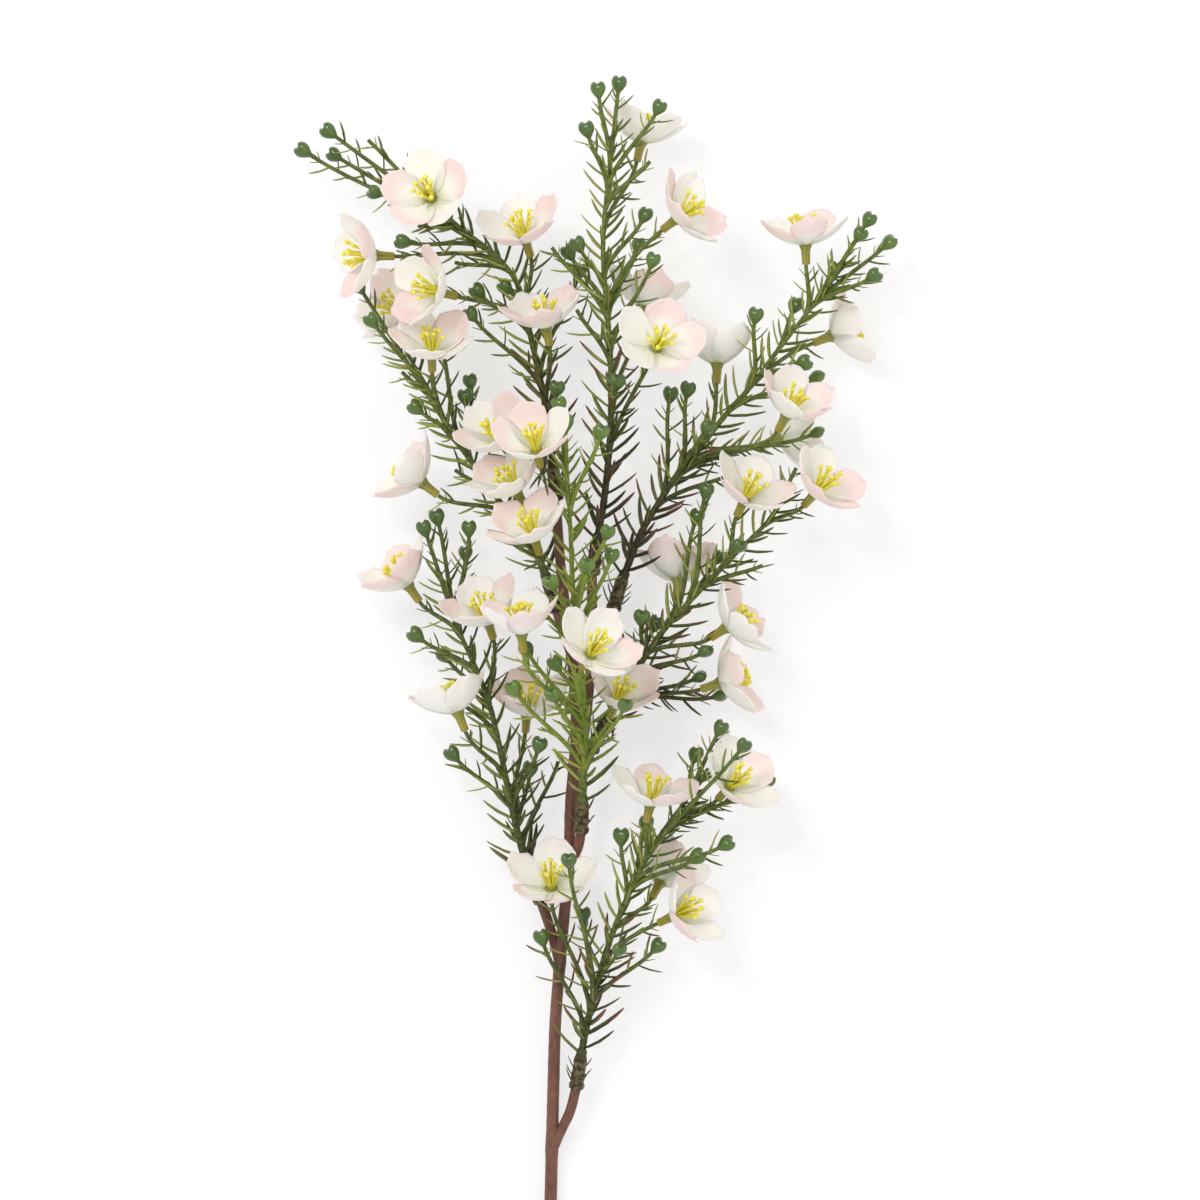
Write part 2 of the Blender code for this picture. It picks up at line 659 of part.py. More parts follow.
def needles(number, rib, own, room):
    """A sprig's needles, turned by the golden angle along its rib and then along each shoot."""
    past_socket = round(SOCKET_LENGTH / (rib[1] - rib[0]).length) + 1
    hosts = [(rib, NEEDLE_STEP, past_socket, 1.0)]
    hosts += [(shoot.line(), SHOOT_NEEDLE_STEP, 1, SHOOT_NEEDLE_SIZE) for shoot in own]
    turn = number
    pieces = []
    for line, step, first, size in hosts:
        length = sum((b - a).length for a, b in zip(line, line[1:]))
        ahead = tangents(line)
        count = int(length * (len(line) - first) / len(line) / step)
        for k in range(count):
            at = first + (len(line) - 1 - first) * (k + 0.5) / count
            index = int(at)
            root = line[index].lerp(line[min(index + 1, len(line) - 1)], at - index)
            up, side = across(ahead[index], Vector((0.1, 0.2, 1)))
            turn += GOLDEN_ANGLE
            for attempt in range(NEEDLE_TRIES):
                a = turn + attempt * NEEDLE_RETRY_TURN
                out = math.cos(a) * up + math.sin(a) * side
                tip = root + size * NEEDLE_LENGTH * (NEEDLE_AHEAD * ahead[index] + NEEDLE_OUT * out)
                if room.take(root, tip):
                    pieces.append(needle(root, tip, up))
                    break
    return pieces


def shoot_pieces(shoot):
    """A shoot's stalk and the bud on its end, if it carries one."""
    line, ahead = shoot.line(), shoot.ahead()
    pieces = [tube(line, [SHOOT_FLAT] * len(line), 3, Vector((0.2, 0.1, 1)), ahead)]
    if shoot.kind == "bud":
        pieces.append(bud(line[-1] - BUD_SINK * ahead, ahead, Vector((1, 0.4, 0.3))))
    return pieces


def sprig_object(name, rib, pieces):
    """One leafy body: a thick socket, the rib, and all that grows on it."""
    coarse = smooth_route(rib, COARSE_RIB_STEP)
    taper = rib_radii(len(coarse), COARSE_RIB_STEP * len(coarse))
    slim = [min(radius, RIB_RADIUS) for radius in taper[1:]]
    body = tube([rib[2], *coarse[1:]], [RIB_RADIUS, *slim], 5)
    socket = tube([rib[0], rib[1], rib[2], rib[4]], [SOCKET_RADIUS] * 3 + [0.75 * SOCKET_RADIUS], 6)
    sprig = new_object(name, *body, ("sprig_green", GREEN), 0.45)
    fuse(sprig, [socket, *pieces])


def stem_object(lines, leans):
    """The main stem, tapering to its upper end, with its branch and pegs fused on."""
    end = next(iter(ENDS))
    stem = lines[end]
    count = len(stem) - 1
    taper = [STEM_RADIUS + (STEM_TIP_RADIUS - STEM_RADIUS) * k / count for k in range(count + 1)]
    obj = new_object("main_stem", *tube(stem, taper, 6, last=leans[end]), ("stem_brown", BROWN), 0.6)
    pegs = [(name, line) for name, line in lines.items() if name != end]
    fuse(obj, [tube(line, [PEG_RADIUS] * len(line), 6, last=leans[name]) for name, line in pegs])


def main():
    for obj in list(bpy.data.objects):
        bpy.data.objects.remove(obj)
    ribs = {}
    for name, plan in SPRIGS.items():
        ribs[name] = smooth_route([place(*p) for p in plan["rib"]], RIB_STEP)
    lines, leans = stem_lines(ribs)
    shoots, fixed = settled_shoots(ribs, lines)
    stem_object(lines, leans)
    room = Room(shoots, fixed)
    for number, (name, rib) in enumerate(ribs.items()):
        own = [shoot for shoot in shoots if shoot.sprig == name]
        room.start(name)
        pieces = needles(number, rib, own, room)
        for shoot in own:
            pieces += shoot_pieces(shoot)
        sprig_object(name, rib, pieces)
        print(name, len(own), "shoots", len(pieces), "pieces")
    for shoot in shoots:
        if shoot.kind == "bloom":
            verts, faces = bloom(shoot.spot, shoot.axis, shoot.opened, shoot.number)
            new_object(f"bloom_{shoot.number:02d}", verts, faces, ("petal_white", PETAL_WHITE), 0.8)


main()
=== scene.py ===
"""Looks of a waxflower stem that lies on a pale surface, seen from straight above.

The stem is an artificial one: a brown coated wire, moulded green sprigs with needles and glossy
buds, and fabric blooms on short yellow tubes. The plan below is the one that the solids are made
from, and the same rule bends the shoots clear of each other, so each piece lies on its node.

Places are read on a drawing grid as seen from above: x runs to the right, y towards the cut end,
and the height above the surface is in mm. Everything else is in metres, and +Z is up.
"""

import math

import bpy
import numpy as np
from mathutils import Matrix, Vector

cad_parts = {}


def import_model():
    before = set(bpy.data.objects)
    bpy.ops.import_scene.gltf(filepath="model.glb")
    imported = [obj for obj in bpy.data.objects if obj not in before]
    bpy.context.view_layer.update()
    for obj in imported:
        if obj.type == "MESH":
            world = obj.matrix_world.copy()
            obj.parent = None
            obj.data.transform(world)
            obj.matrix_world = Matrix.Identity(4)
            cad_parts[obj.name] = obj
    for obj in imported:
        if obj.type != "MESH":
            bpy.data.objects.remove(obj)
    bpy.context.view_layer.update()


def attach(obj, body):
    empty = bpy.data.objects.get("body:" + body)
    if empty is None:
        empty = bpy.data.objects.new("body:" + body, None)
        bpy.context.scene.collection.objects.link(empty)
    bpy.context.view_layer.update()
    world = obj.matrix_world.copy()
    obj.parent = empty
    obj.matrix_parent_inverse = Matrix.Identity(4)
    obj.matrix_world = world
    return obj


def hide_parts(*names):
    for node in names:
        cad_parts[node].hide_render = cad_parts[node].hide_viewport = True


MM = 0.001
GRID = 0.45 * MM
MID_X, MID_Y = 595.68, 771.53

STEM_RADIUS = 3.1 * MM
STEM_TIP_RADIUS = 2.2 * MM
PEG_RADIUS = 2.3 * MM
SEAT_GAP = 0.3 * MM
SOCKET_RADIUS = 3.4 * MM
SOCKET_LENGTH = 15 * MM
RIB_RADIUS = 1.7 * MM
RIB_TIP_RADIUS = 0.8 * MM
SHOOT_RADIUS = 1.1 * MM
SHOOT_LEAN = 1.45
NEEDLE_RADIUS = 0.85 * MM
NEEDLE_LENGTH = 15.5 * MM
NEEDLE_SHARES = (0.3, 0.5, 0.65, 0.85, 1.0)
NEEDLE_BODY_GAP = 0.5 * MM
NEEDLE_APART = 1.9 * MM
NEEDLE_TRIES = 5
NEEDLE_RETRY_TURN = 1.1
GOLDEN_ANGLE = math.radians(137.5)

BUD_LENGTH = 8.4 * MM
BUD_SINK = 0.8 * MM

PETALS = 5
PETAL_LENGTH = 22.5 * MM
PETAL_HALF_WIDTH = 9 * MM
PETAL_THICKNESS = 0.65 * MM
THROAT_RADIUS = 2.2 * MM
TUBE_LENGTH = 9 * MM
TUBE_BASE_RADIUS = 1.7 * MM
STAMEN_LENGTH = 13 * MM
LOWEST_CLEARANCE = 1.5 * MM
BODY_CLEARANCE = 1.1 * MM
SIDE_DRIFT = 5 * MM
BEND_ROUNDS = 240
RIB_STEP = 5 * MM
STEM_STEP = 34 * MM
ON_SURFACE = None

# The scene's own values: how dense its needles are, and how fine its shapes.
NEEDLE_FULL_STEP = 2.3 * MM
SHOOT_FULL_STEP = 4.8 * MM
NEEDLE_LEAN, NEEDLE_SPREAD = 0.66, 0.76
RIB_NEEDLE_SIZES = (1.36, 0.92)
SHOOT_NEEDLE_SIZES = (0.84, 0.70)
SHORT_NEEDLE_SIZE = 0.36
SHORT_NEEDLE_BACK = 5.5 * MM
SCARS_PER_RING, SCAR_RINGS = 3, 3
FINE_COUNT = 10
DENSE_RIB_STEP = 1.6 * MM
DENSE_STEM_STEP = 1.8 * MM
STALK_SIDES, STEM_SIDES = 9, 20
FINE_SHOOT_RADIUS = 1.15 * MM
FINE_SHOOT_TAPER = 0.25 * MM
FORK_REACH = 7 * MM
BUD_COLUMNS = 14
STAMENS = 9
STAMEN_SIDES = 5
PETAL_ROWS, PETAL_COLUMNS = 12, 14
PETAL_LAP = 0.5
CLOTH_THICKNESS = 0.35 * MM
TUBE_COLUMNS = 16

# Height over the throat and radius in mm, from the tube's foot over the collar to the cone's top.
TUBE_PROFILE = (
    (-9.0, 1.2), (-9.0, 1.7), (-8.4, 1.85), (-5.0, 1.95), (-2.4, 2.15), (-1.2, 2.6), (-0.2, 3.1),
    (0.3, 2.9), (0.5, 2.1), (1.4, 1.5), (2.2, 0.6),
)

# The shapes that are scattered have unit length: place along it, and width there.
NEEDLE_PROFILE = ((0.0, 0.75), (0.2, 1.0), (0.5, 1.0), (0.78, 0.8), (0.93, 0.5), (1.0, 0.16))
BUD_PROFILE = (
    (0.0, 0.14), (0.12, 0.34), (0.3, 0.66), (0.5, 0.93), (0.68, 1.0), (0.84, 0.86), (0.95, 0.52),
)
STAMEN_PROFILE = (
    (0.0, 0.085), (0.25, 0.058), (0.7, 0.045), (0.86, 0.048), (0.9, 0.085), (0.96, 0.095), (1.0, 0.05),
)

# Which way is up when a bloom, a needle or a bud is turned about its own axis.
BLOOM_HINT = Vector((0.3, 0.2, 1))
NEEDLE_HINT = Vector((0.1, 0.2, 1))
BUD_HINT = Vector((1, 0.4, 0.3))

CAMERA_MIDDLE = (600.0, 600.0)
CAMERA_HEIGHT = 6.14
CAMERA_LENS = 406.7
CAMERA_REACH = 50.0
SENSOR = 36.0

# Area lights that point at the middle: place in metres, watts, and width in metres.
LIGHTS = {
    "window": ((-1.1, 1.3, 2.3), 20.0, 0.8),
    "fill": ((1.5, -0.6, 2.2), 8.0, 2.2),
    "spark": ((-0.5, 0.9, 2.6), 6.0, 0.16),
}
SURROUND_STRENGTH = 0.8
FLOOR_GLOW = 0.56
FLOOR_HALF = 6.0

# How dark each sprig's foot is, how far up that reaches, and how fresh its green is.
TONES = {
    "sprig_low_right": (0.25, 0.5, 0.72),
    "sprig_low_left": (0.3, 0.45, 0.6),
    "sprig_front": (0.35, 0.2, 1.0),
    "sprig_right": (0.0, 0.5, 0.68),
    "sprig_left": (0.4, 0.35, 0.7),
    "sprig_right_top": (0.0, 0.5, 0.8),
    "sprig_top": (0.02, 0.55, 0.78),
    "sprig_left_top": (0.15, 0.5, 0.66),
}

# The main stem from its cut end, then the side branch that carries the two upper right sprigs.
STEM = (
    (548, 1467, 3.1), (549, 1330, 4.2), (550, 1220, 6), (552, 1140, 8.4), (554, 1060, 12), (557, 990, 16),
    (563, 930, 20), (568, 870, 24), (571, 800, 28), (576, 735, 31), (572, 660, 33), (564, 600, 34),
    (559, 545, 34),
)
STEM_BRANCH = ((571, 815, 27), (582, 750, 27), (589, 690, 28), (592, 640, 31), (592, 600, 37))
ENDS = {"sprig_left_top": STEM, "sprig_top": STEM_BRANCH}

# Each sprig: its peg's foot on the stem, its rib's route, its blooms, its buds and its bare leafy tips.
# A bloom is number, throat x, y, height, heading and rise in degrees, and how far it has opened.
SPRIGS = {
    "sprig_low_right": {
        "peg": (553, 1150, 8),
        "rib": (
            (576, 1090, 14), (584, 1040, 20), (597, 985, 28), (612, 935, 34), (633, 885, 39),
            (657, 840, 42), (686, 800, 44), (708, 768, 45),
        ),
        "blooms": (
            (34, 558, 892, 34, 92, 42, 1.0), (35, 650, 803, 54, 78, 18, 1.0),
            (36, 727, 785, 43, 48, 36, 1.0), (37, 660, 884, 22, 62, -30, 0.9),
            (38, 674, 914, 36, 26, 30, 0.9),
        ),
        "buds": (
            (718, 738, 46), (738, 751, 78), (761, 786, 34), (693, 763, 34), (645, 832, 24),
            (621, 846, 38), (689, 863, 44), (718, 848, 48), (584, 924, 16), (569, 866, 70),
            (544, 947, 24), (616, 955, 46), (652, 953, 28),
        ),
        "tips": ((730, 800, 30),),
    },
    "sprig_low_left": {
        "peg": (560, 965, 18),
        "rib": (
            (541, 903, 20), (533, 882, 23), (524, 858, 26), (515, 822, 30), (507, 785, 33),
            (499, 745, 36), (491, 710, 38), (480, 678, 39), (463, 640, 40), (449, 605, 40),
            (440, 572, 40),
        ),
        "blooms": (
            (29, 408, 585, 40, 125, 8, 0.9), (30, 488, 622, 53, 108, 30, 0.9),
            (32, 458, 712, 52, 112, -4, 0.9), (33, 527, 714, 24, 86, 24, 0.9),
        ),
        "buds": (
            (427, 537, 44), (439, 526, 36), (469, 537, 40), (465, 561, 30), (423, 641, 34),
            (449, 662, 26), (458, 761, 34), (537, 753, 40), (529, 778, 26),
        ),
        "tips": ((558, 762, 18), (444, 690, 26)),
    },
    "sprig_front": {
        "peg": (569, 868, 25),
        "rib": (
            (581, 832, 34), (583, 795, 43), (585, 740, 55), (583, 690, 63), (578, 640, 68),
            (573, 590, 71), (571, 540, 72), (568, 490, 72), (563, 450, 72),
        ),
        "blooms": ((22, 590, 655, 96, 58, 42, 1.0), (31, 522, 633, 90, 95, 14, 0.9)),
        "buds": (
            (560, 414, 66), (566, 433, 76), (599, 441, 86), (605, 540, 88), (609, 564, 62),
            (586, 574, 88), (555, 590, 84), (539, 605, 70), (531, 657, 60), (519, 696, 62),
            (556, 701, 78), (560, 671, 62), (622, 711, 80),
        ),
        "tips": ((556, 470, 62),),
    },
    "sprig_right": {
        "peg": (572, 798, 27),
        "rib": (
            (591, 752, 16), (604, 725, 18), (618, 702, 22), (634, 675, 29), (648, 652, 36),
            (666, 627, 39), (687, 604, 42), (712, 578, 45), (741, 548, 47), (769, 520, 48),
            (790, 490, 48),
        ),
        "blooms": (
            (17, 815, 493, 54, 48, 30, 1.0), (18, 744, 500, 62, 64, 30, 1.0),
            (19, 678, 580, 16, 86, -24, 0.9), (20, 727, 626, 42, 34, 12, 1.0),
            (21, 720, 683, 26, 18, 6, 1.0), (23, 616, 703, 45, 66, 40, 0.8),
        ),
        "buds": (
            (704, 499, 46), (694, 525, 36), (714, 564, 34), (733, 552, 64), (698, 655, 48),
            (692, 681, 22), (712, 698, 16), (641, 626, 42), (652, 632, 24),
        ),
        "tips": ((761, 568, 58), (796, 468, 46)),
    },
    "sprig_left": {
        "peg": (572, 655, 33),
        "rib": (
            (557, 612, 29), (548, 583, 28), (538, 558, 29), (520, 530, 32), (500, 502, 36),
            (484, 478, 38), (467, 456, 39), (448, 426, 40), (433, 397, 40), (418, 372, 40),
            (405, 350, 40),
        ),
        "blooms": (
            (5, 404, 312, ON_SURFACE, 150, 24, 0.9), (6, 432, 355, 58, 92, 34, 1.0),
            (26, 513, 486, 69, 122, 26, 0.88), (27, 534, 533, 78, 108, 28, 0.98),
            (28, 422, 483, 42, 142, 4, 0.9),
        ),
        "buds": (
            (363, 293, 30), (377, 328, 46), (471, 389, 30), (466, 405, 36), (422, 413, 34),
        ),
        "tips": (
            (436, 420, 52), (455, 470, 26), (402, 372, 30),
        ),
    },
    "sprig_right_top": {
        "peg": (592, 650, 30),
        "rib": (
            (613, 610, 26), (621, 583, 27), (630, 560, 29), (641, 533, 31), (656, 507, 33),
            (679, 472, 36), (703, 443, 38), (728, 412, 40), (752, 385, 42), (778, 350, 43),
            (800, 322, 43), (825, 290, 43), (846, 262, 43),
        ),
        "blooms": (
            (12, 717, 364, 40, 88, -12, 0.8), (13, 805, 245, 48, 92, 4, 1.0),
            (14, 832, 335, ON_SURFACE, 22, -6, 0.9), (15, 786, 415, 60, 62, 26, 0.8),
            (16, 781, 440, 26, 16, -18, 0.9),
        ),
        "buds": (
            (754, 324, 50), (864, 227, 44), (855, 242, 54), (882, 249, 40), (866, 281, 54),
            (792, 313, 34), (795, 367, 48), (808, 381, 34), (809, 436, 48), (686, 398, 46),
            (669, 403, 30), (703, 434, 54),
        ),
        "tips": ((740, 470, 28), (835, 262, 34)),
    },
    "sprig_top": {
        "peg": None,
        "rib": (
            (592, 574, 42), (598, 535, 46), (604, 500, 49), (609, 450, 51), (611, 400, 52),
            (610, 350, 52), (606, 300, 51), (603, 250, 50), (606, 200, 49), (612, 150, 48),
            (616, 122, 48),
        ),
        "blooms": (
            (8, 641, 141, 24, 78, -8, 1.0), (9, 677, 219, 50, 38, 24, 1.0),
            (10, 643, 306, 26, 78, -14, 0.9), (11, 656, 350, 80, 66, 58, 1.1),
        ),
        "buds": (
            (599, 99, 52), (618, 93, 46), (655, 116, 58), (589, 139, 56), (641, 223, 44),
            (636, 252, 34), (650, 269, 60), (616, 391, 66), (573, 260, 42), (582, 253, 54),
        ),
        "tips": (
            (650, 162, 50), (552, 248, 48), (575, 310, 60),
        ),
    },
    "sprig_left_top": {
        "peg": None,
        "rib": (
            (556, 501, 34), (551, 450, 35), (545, 405, 36), (538, 370, 37), (531, 338, 38),
            (519, 288, 39), (500, 260, 40), (478, 242, 41), (452, 224, 41), (422, 200, 41),
            (398, 182, 41),
        ),
        "blooms": (
            (1, 432, 200, 64, 132, 62, 1.0), (2, 375, 256, 46, 178, 18, 1.0),
            (3, 525, 240, 50, 108, 28, 1.0), (4, 440, 293, 56, 166, 32, 0.9),
            (7, 548, 328, 60, 100, 18, 1.0), (24, 507, 450, 50, 120, 36, 0.8),
            (25, 536, 452, 88, 104, 38, 0.85),
        ),
        "buds": (
            (336, 137, 42), (311, 156, 46), (341, 159, 34), (383, 195, 44), (412, 244, 50),
            (484, 298, 34), (511, 293, 38), (476, 321, 42), (556, 397, 46), (577, 279, 30),
        ),
        "tips": (
            (368, 140, 40), (418, 226, 44), (455, 262, 30),
        ),
    },
}


def place(x, y, height):
    return Vector(((x - MID_X) * GRID, (MID_Y - y) * GRID, height * MM))


def heading(turn, rise):
    """The unit vector at a turn from +X in the surface's plane and a rise above it, in degrees."""
    turn, rise = math.radians(turn), math.radians(rise)
    return Vector((math.cos(rise) * math.cos(turn), math.cos(rise) * math.sin(turn), math.sin(rise)))


def smooth_route(points, step):
    """Evenly spaced points on a Catmull-Rom curve through the given ones."""
    ends = [2 * points[0] - points[1], *points, 2 * points[-1] - points[-2]]
    fine = []
    for a, b, c, d in zip(ends, ends[1:], ends[2:], ends[3:]):
        for k in range(16):
            t = k / 16
            fine.append(0.5 * (
                2 * b + (c - a) * t + (2 * a - 5 * b + 4 * c - d) * t**2 + (3 * b - a - 3 * c + d) * t**3
            ))
    fine.append(points[-1].copy())
    line = np.array(fine)
    along = np.concatenate([[0], np.cumsum(np.linalg.norm(np.diff(line, axis=0), axis=1))])
    count = max(2, round(along[-1] / step))
    at = np.linspace(0, along[-1], count + 1)
    return [Vector(p) for p in np.stack([np.interp(at, along, line[:, k]) for k in range(3)], axis=1)]


def bend(start, lean, lean_end, end, count):
    """Points on a cubic curve with the given handles."""
    out = []
    for k in range(count + 1):
        t = k / count
        s = 1 - t
        out.append(s**3 * start + 3 * s * s * t * lean + 3 * s * t * t * lean_end + t**3 * end)
    return out


def tangents(points):
    ends = [points[0], *points, points[-1]]
    return [(c - a).normalized() for a, c in zip(ends, ends[2:])]


def across(direction, hint):
    """Two unit vectors square to a direction, the first as near the hint as can be."""
    first = (hint - hint.dot(direction) * direction).normalized()
    return first, direction.cross(first)


def around(turn, first, second):
    """The unit vector at a turn, in radians, from the first of two square unit vectors to the second."""
    return math.cos(turn) * first + math.sin(turn) * second


def petal_turns(draw, opened):
    """How far each petal of a bloom is twisted, and how far it has opened."""
    twists = [draw.uniform(-0.16, 0.16) for _ in range(PETALS)]
    return twists, [opened * draw.uniform(0.9, 1.1) for _ in range(PETALS)]


def petal_point(along, side, opened, twist):
    """A point of one petal: along runs 0 to 1 from the throat, side -1 to 1 across it.

    It is returned as distance out from the bloom's axis, sideways, and height over the throat."""
    lean, curl = math.radians(76 * opened), math.radians(44 * opened)
    steps = 8
    out, up = THROAT_RADIUS, 0.0
    for k in range(steps):
        angle = lean - curl * along * (k + 0.5) / steps
        out += PETAL_LENGTH * along / steps * math.sin(angle)
        up += PETAL_LENGTH * along / steps * math.cos(angle)
    width = PETAL_HALF_WIDTH * math.sin(math.pi * (0.1 + 0.66 * along)) ** 0.8
    rise = 0.24 * width * side * side
    return out - 0.4 * rise, side * width, up + rise + twist * side * width * along


def bloom_form(throat, axis, opened, seed):
    """One closed body: five petals as one lobed sheet, the tube under it and the stamens on it."""
    draw = np.random.default_rng(seed)
    hint, other = across(axis, BLOOM_HINT)
    spin = draw.uniform(0, 2 * math.pi / PETALS)
    verts, faces = [], []

    def add(out, side, height, turn):
        radial = around(spin + turn, hint, other)
        verts.append(throat + out * radial + side * axis.cross(radial) + height * axis)
        return len(verts) - 1

    rim_spots = ((0.66, -0.97), (0.98, -0.5), (0.98, 0.5), (0.66, 0.97))
    sheets = []
    twists, swings = petal_turns(draw, opened)
    for drop in (0, PETAL_THICKNESS):
        rim, middle, inner = [], [], []
        for k in range(PETALS):
            turn = 2 * math.pi * k / PETALS
            half = math.pi / PETALS
            for along, side in rim_spots:
                out, sideways, up = petal_point(along, side, swings[k], twists[k])
                rim.append(add(out + 0.5 * drop, sideways, up - drop, turn))
            notch_out, _, notch_up = petal_point(0.36, 0, opened, 0)
            rim.append(add(notch_out + 0.5 * drop, 0, notch_up - drop + 0.8 * MM, turn + half))
            out, _, up = petal_point(0.5, 0, swings[k], 0)
            middle.append(add(out + 0.5 * drop, 0, up - drop - 0.6 * MM, turn))
            inner.append(add(THROAT_RADIUS, 0, -1.5 * drop, turn + half))
        sheets.append((rim, middle, inner))
    for (rim, middle, inner), flip in zip(sheets, (1, -1)):
        for k in range(PETALS):
            spots = rim[5 * k - 1:5 * k] or rim[-1:]
            spots = [*spots, *rim[5 * k:5 * k + 5]]
            centre = middle[k]
            fan = [(centre, spots[a], spots[a + 1]) for a in range(5)]
            fan += [(inner[k - 1], spots[0], centre), (inner[k - 1], centre, inner[k])]
            fan.append((inner[k], centre, spots[5]))
            faces += [face[::-flip] for face in fan]
    top, under = sheets[0][0], sheets[1][0]
    for k in range(len(top)):
        j = (k + 1) % len(top)
        faces.append((top[k], under[k], under[j], top[j]))
    crown_form(throat, axis, sheets[0][2], verts, faces, draw)
    foot = []
    for k in range(PETALS):
        foot.append(add(TUBE_BASE_RADIUS, 0, -TUBE_LENGTH, 2 * math.pi * (k + 0.5) / PETALS))
    ring = sheets[1][2]
    for k in range(PETALS):
        j = (k + 1) % PETALS
        faces.append((ring[k], foot[k], foot[j], ring[j]))
    faces.append(tuple(foot)[::-1])
    return verts, faces


def crown_form(throat, axis, ring, verts, faces, draw):
    """Five stamens: each grows from its share of the throat and ends in a small club."""
    verts.append(throat + 0.6 * MM * axis)
    centre = len(verts) - 1
    for k, first in enumerate(ring):
        second = ring[(k + 1) % PETALS]
        foot = (verts[first] + verts[second]) / 2 - throat
        out = (foot - foot.dot(axis) * axis).normalized()
        side = axis.cross(out)
        reach = STAMEN_LENGTH * draw.uniform(0.8, 1.1)
        head = throat + reach * (0.88 * axis + draw.uniform(0.3, 0.6) * out + draw.uniform(-0.2, 0.2) * side)
        size = 0.75 * MM
        corners = []
        for offset in (-1.0 * out, 0.6 * out - 0.8 * side, 0.6 * out + 0.8 * side):
            verts.append(head + size * offset)
            corners.append(len(verts) - 1)
        base = (centre, first, second)
        for a in range(3):
            b = (a + 1) % 3
            faces.append((base[a], base[b], corners[b], corners[a]))
        faces.append(tuple(corners))


class Shoot:
    """A thin stalk from a sprig's rib to a bloom, a bud or a leafy tip, with the place it is bent to."""

    def __init__(self, sprig, kind, spot, rib, aim=None, opened=1.0, number=0):
        self.sprig, self.kind, self.number, self.opened = sprig, kind, number, opened
        self.axis = aim
        self.fixed = spot[2] is ON_SURFACE
        self.spot = place(spot[0], spot[1], 0 if self.fixed else spot[2])
        self.lowest = 3.5 * MM
        self.load = []
        if kind == "bloom":
            verts, faces = bloom_form(Vector(), aim, opened, number)
            self.lowest = -min(v.z for v in verts)
            self.spot.z = self.lowest if self.fixed else max(self.spot.z, self.lowest + LOWEST_CLEARANCE)
            self.load += [(-k * TUBE_LENGTH * aim, 2.2 * MM) for k in (0.1, 0.45, 0.8)]
            for a, b, c in faces[:8 * PETALS]:
                a, b, c = verts[a], verts[b], verts[c]
                self.load += [((a + b + c) / 3, 1.3 * MM), ((a + b) / 2, 1.2 * MM), ((b + c) / 2, 1.2 * MM)]
            clubs = verts[14 * PETALS + 1:17 * PETALS + 1]
            for k in (0.25, 0.5, 0.75, 1.0):
                self.load.append((0.75 * k * STAMEN_LENGTH * aim, (1.5 + 3 * k) * MM))
            self.load += [(k * corner, 0.8 * MM) for corner in clubs for k in (0.6, 1.0)]
        self.first = self.spot.copy()
        self.root(rib)

    def root(self, rib):
        """The shoot leaves the rib well before its own end, so that it leans forward."""
        end = self.end()
        line = np.array(rib)
        gaps = np.linalg.norm(line - np.array(end), axis=1)
        nearest = int(gaps.argmin())
        step = (rib[1] - rib[0]).length
        back = nearest - round(SHOOT_LEAN * gaps[nearest] / step)
        first = round(SOCKET_LENGTH / step) + 2
        self.at = min(max(back, first + self.number % 3), len(rib) - 3)
        self.start, self.lean = rib[self.at], tangents(rib)[self.at]

    def end(self):
        return self.spot - (TUBE_LENGTH + SEAT_GAP) * self.axis if self.kind == "bloom" else self.spot

    def ahead(self):
        if self.kind == "bloom":
            return self.axis
        return ((self.spot - self.start).normalized() + 0.25 * self.lean).normalized()

    def fine(self):
        """The same curve as line gives, with enough points to look smooth."""
        return self.line(FINE_COUNT)

    def line(self, count=None):
        end = self.end()
        chord = end - self.start
        reach = chord.length
        handle = self.start + 0.36 * reach * (0.62 * self.lean + 0.38 * chord.normalized())
        count = count or (3 if reach > 44 * MM else 2)
        return bend(self.start, handle, end - 0.3 * reach * self.ahead(), end, count)

    def balls(self):
        """Balls that fill the shoot and what it carries: centre, radius, body, and how far it bends."""
        found = []
        line = self.line()
        for k in range(4 * len(line) - 3):
            share = k / (4 * len(line) - 4)
            first = min(k // 4, len(line) - 2)
            point = line[first].lerp(line[first + 1], k / 4 - first)
            found.append((point, SHOOT_RADIUS, self.sprig, share * share * (3 - 2 * share)))
        if self.kind == "bud":
            for k in (0.4, 0.7):
                found.append((self.spot + k * BUD_LENGTH * self.ahead(), 3.2 * MM, self.sprig, 1.0))
        body = f"bloom_{self.number:02d}"
        return found + [(self.spot + offset, radius, body, 1.0) for offset, radius in self.load]

    def nudge(self, push):
        """Moves the shoot's end, mostly up or down, and keeps it near its drawn place and off the surface."""
        self.spot += Vector((0.6 * push.x, 0.6 * push.y, push.z))
        for axis in (0, 1):
            drift = self.spot[axis] - self.first[axis]
            self.spot[axis] = self.first[axis] + min(max(drift, -SIDE_DRIFT), SIDE_DRIFT)
        self.spot.z = max(self.spot.z, self.lowest + LOWEST_CLEARANCE)


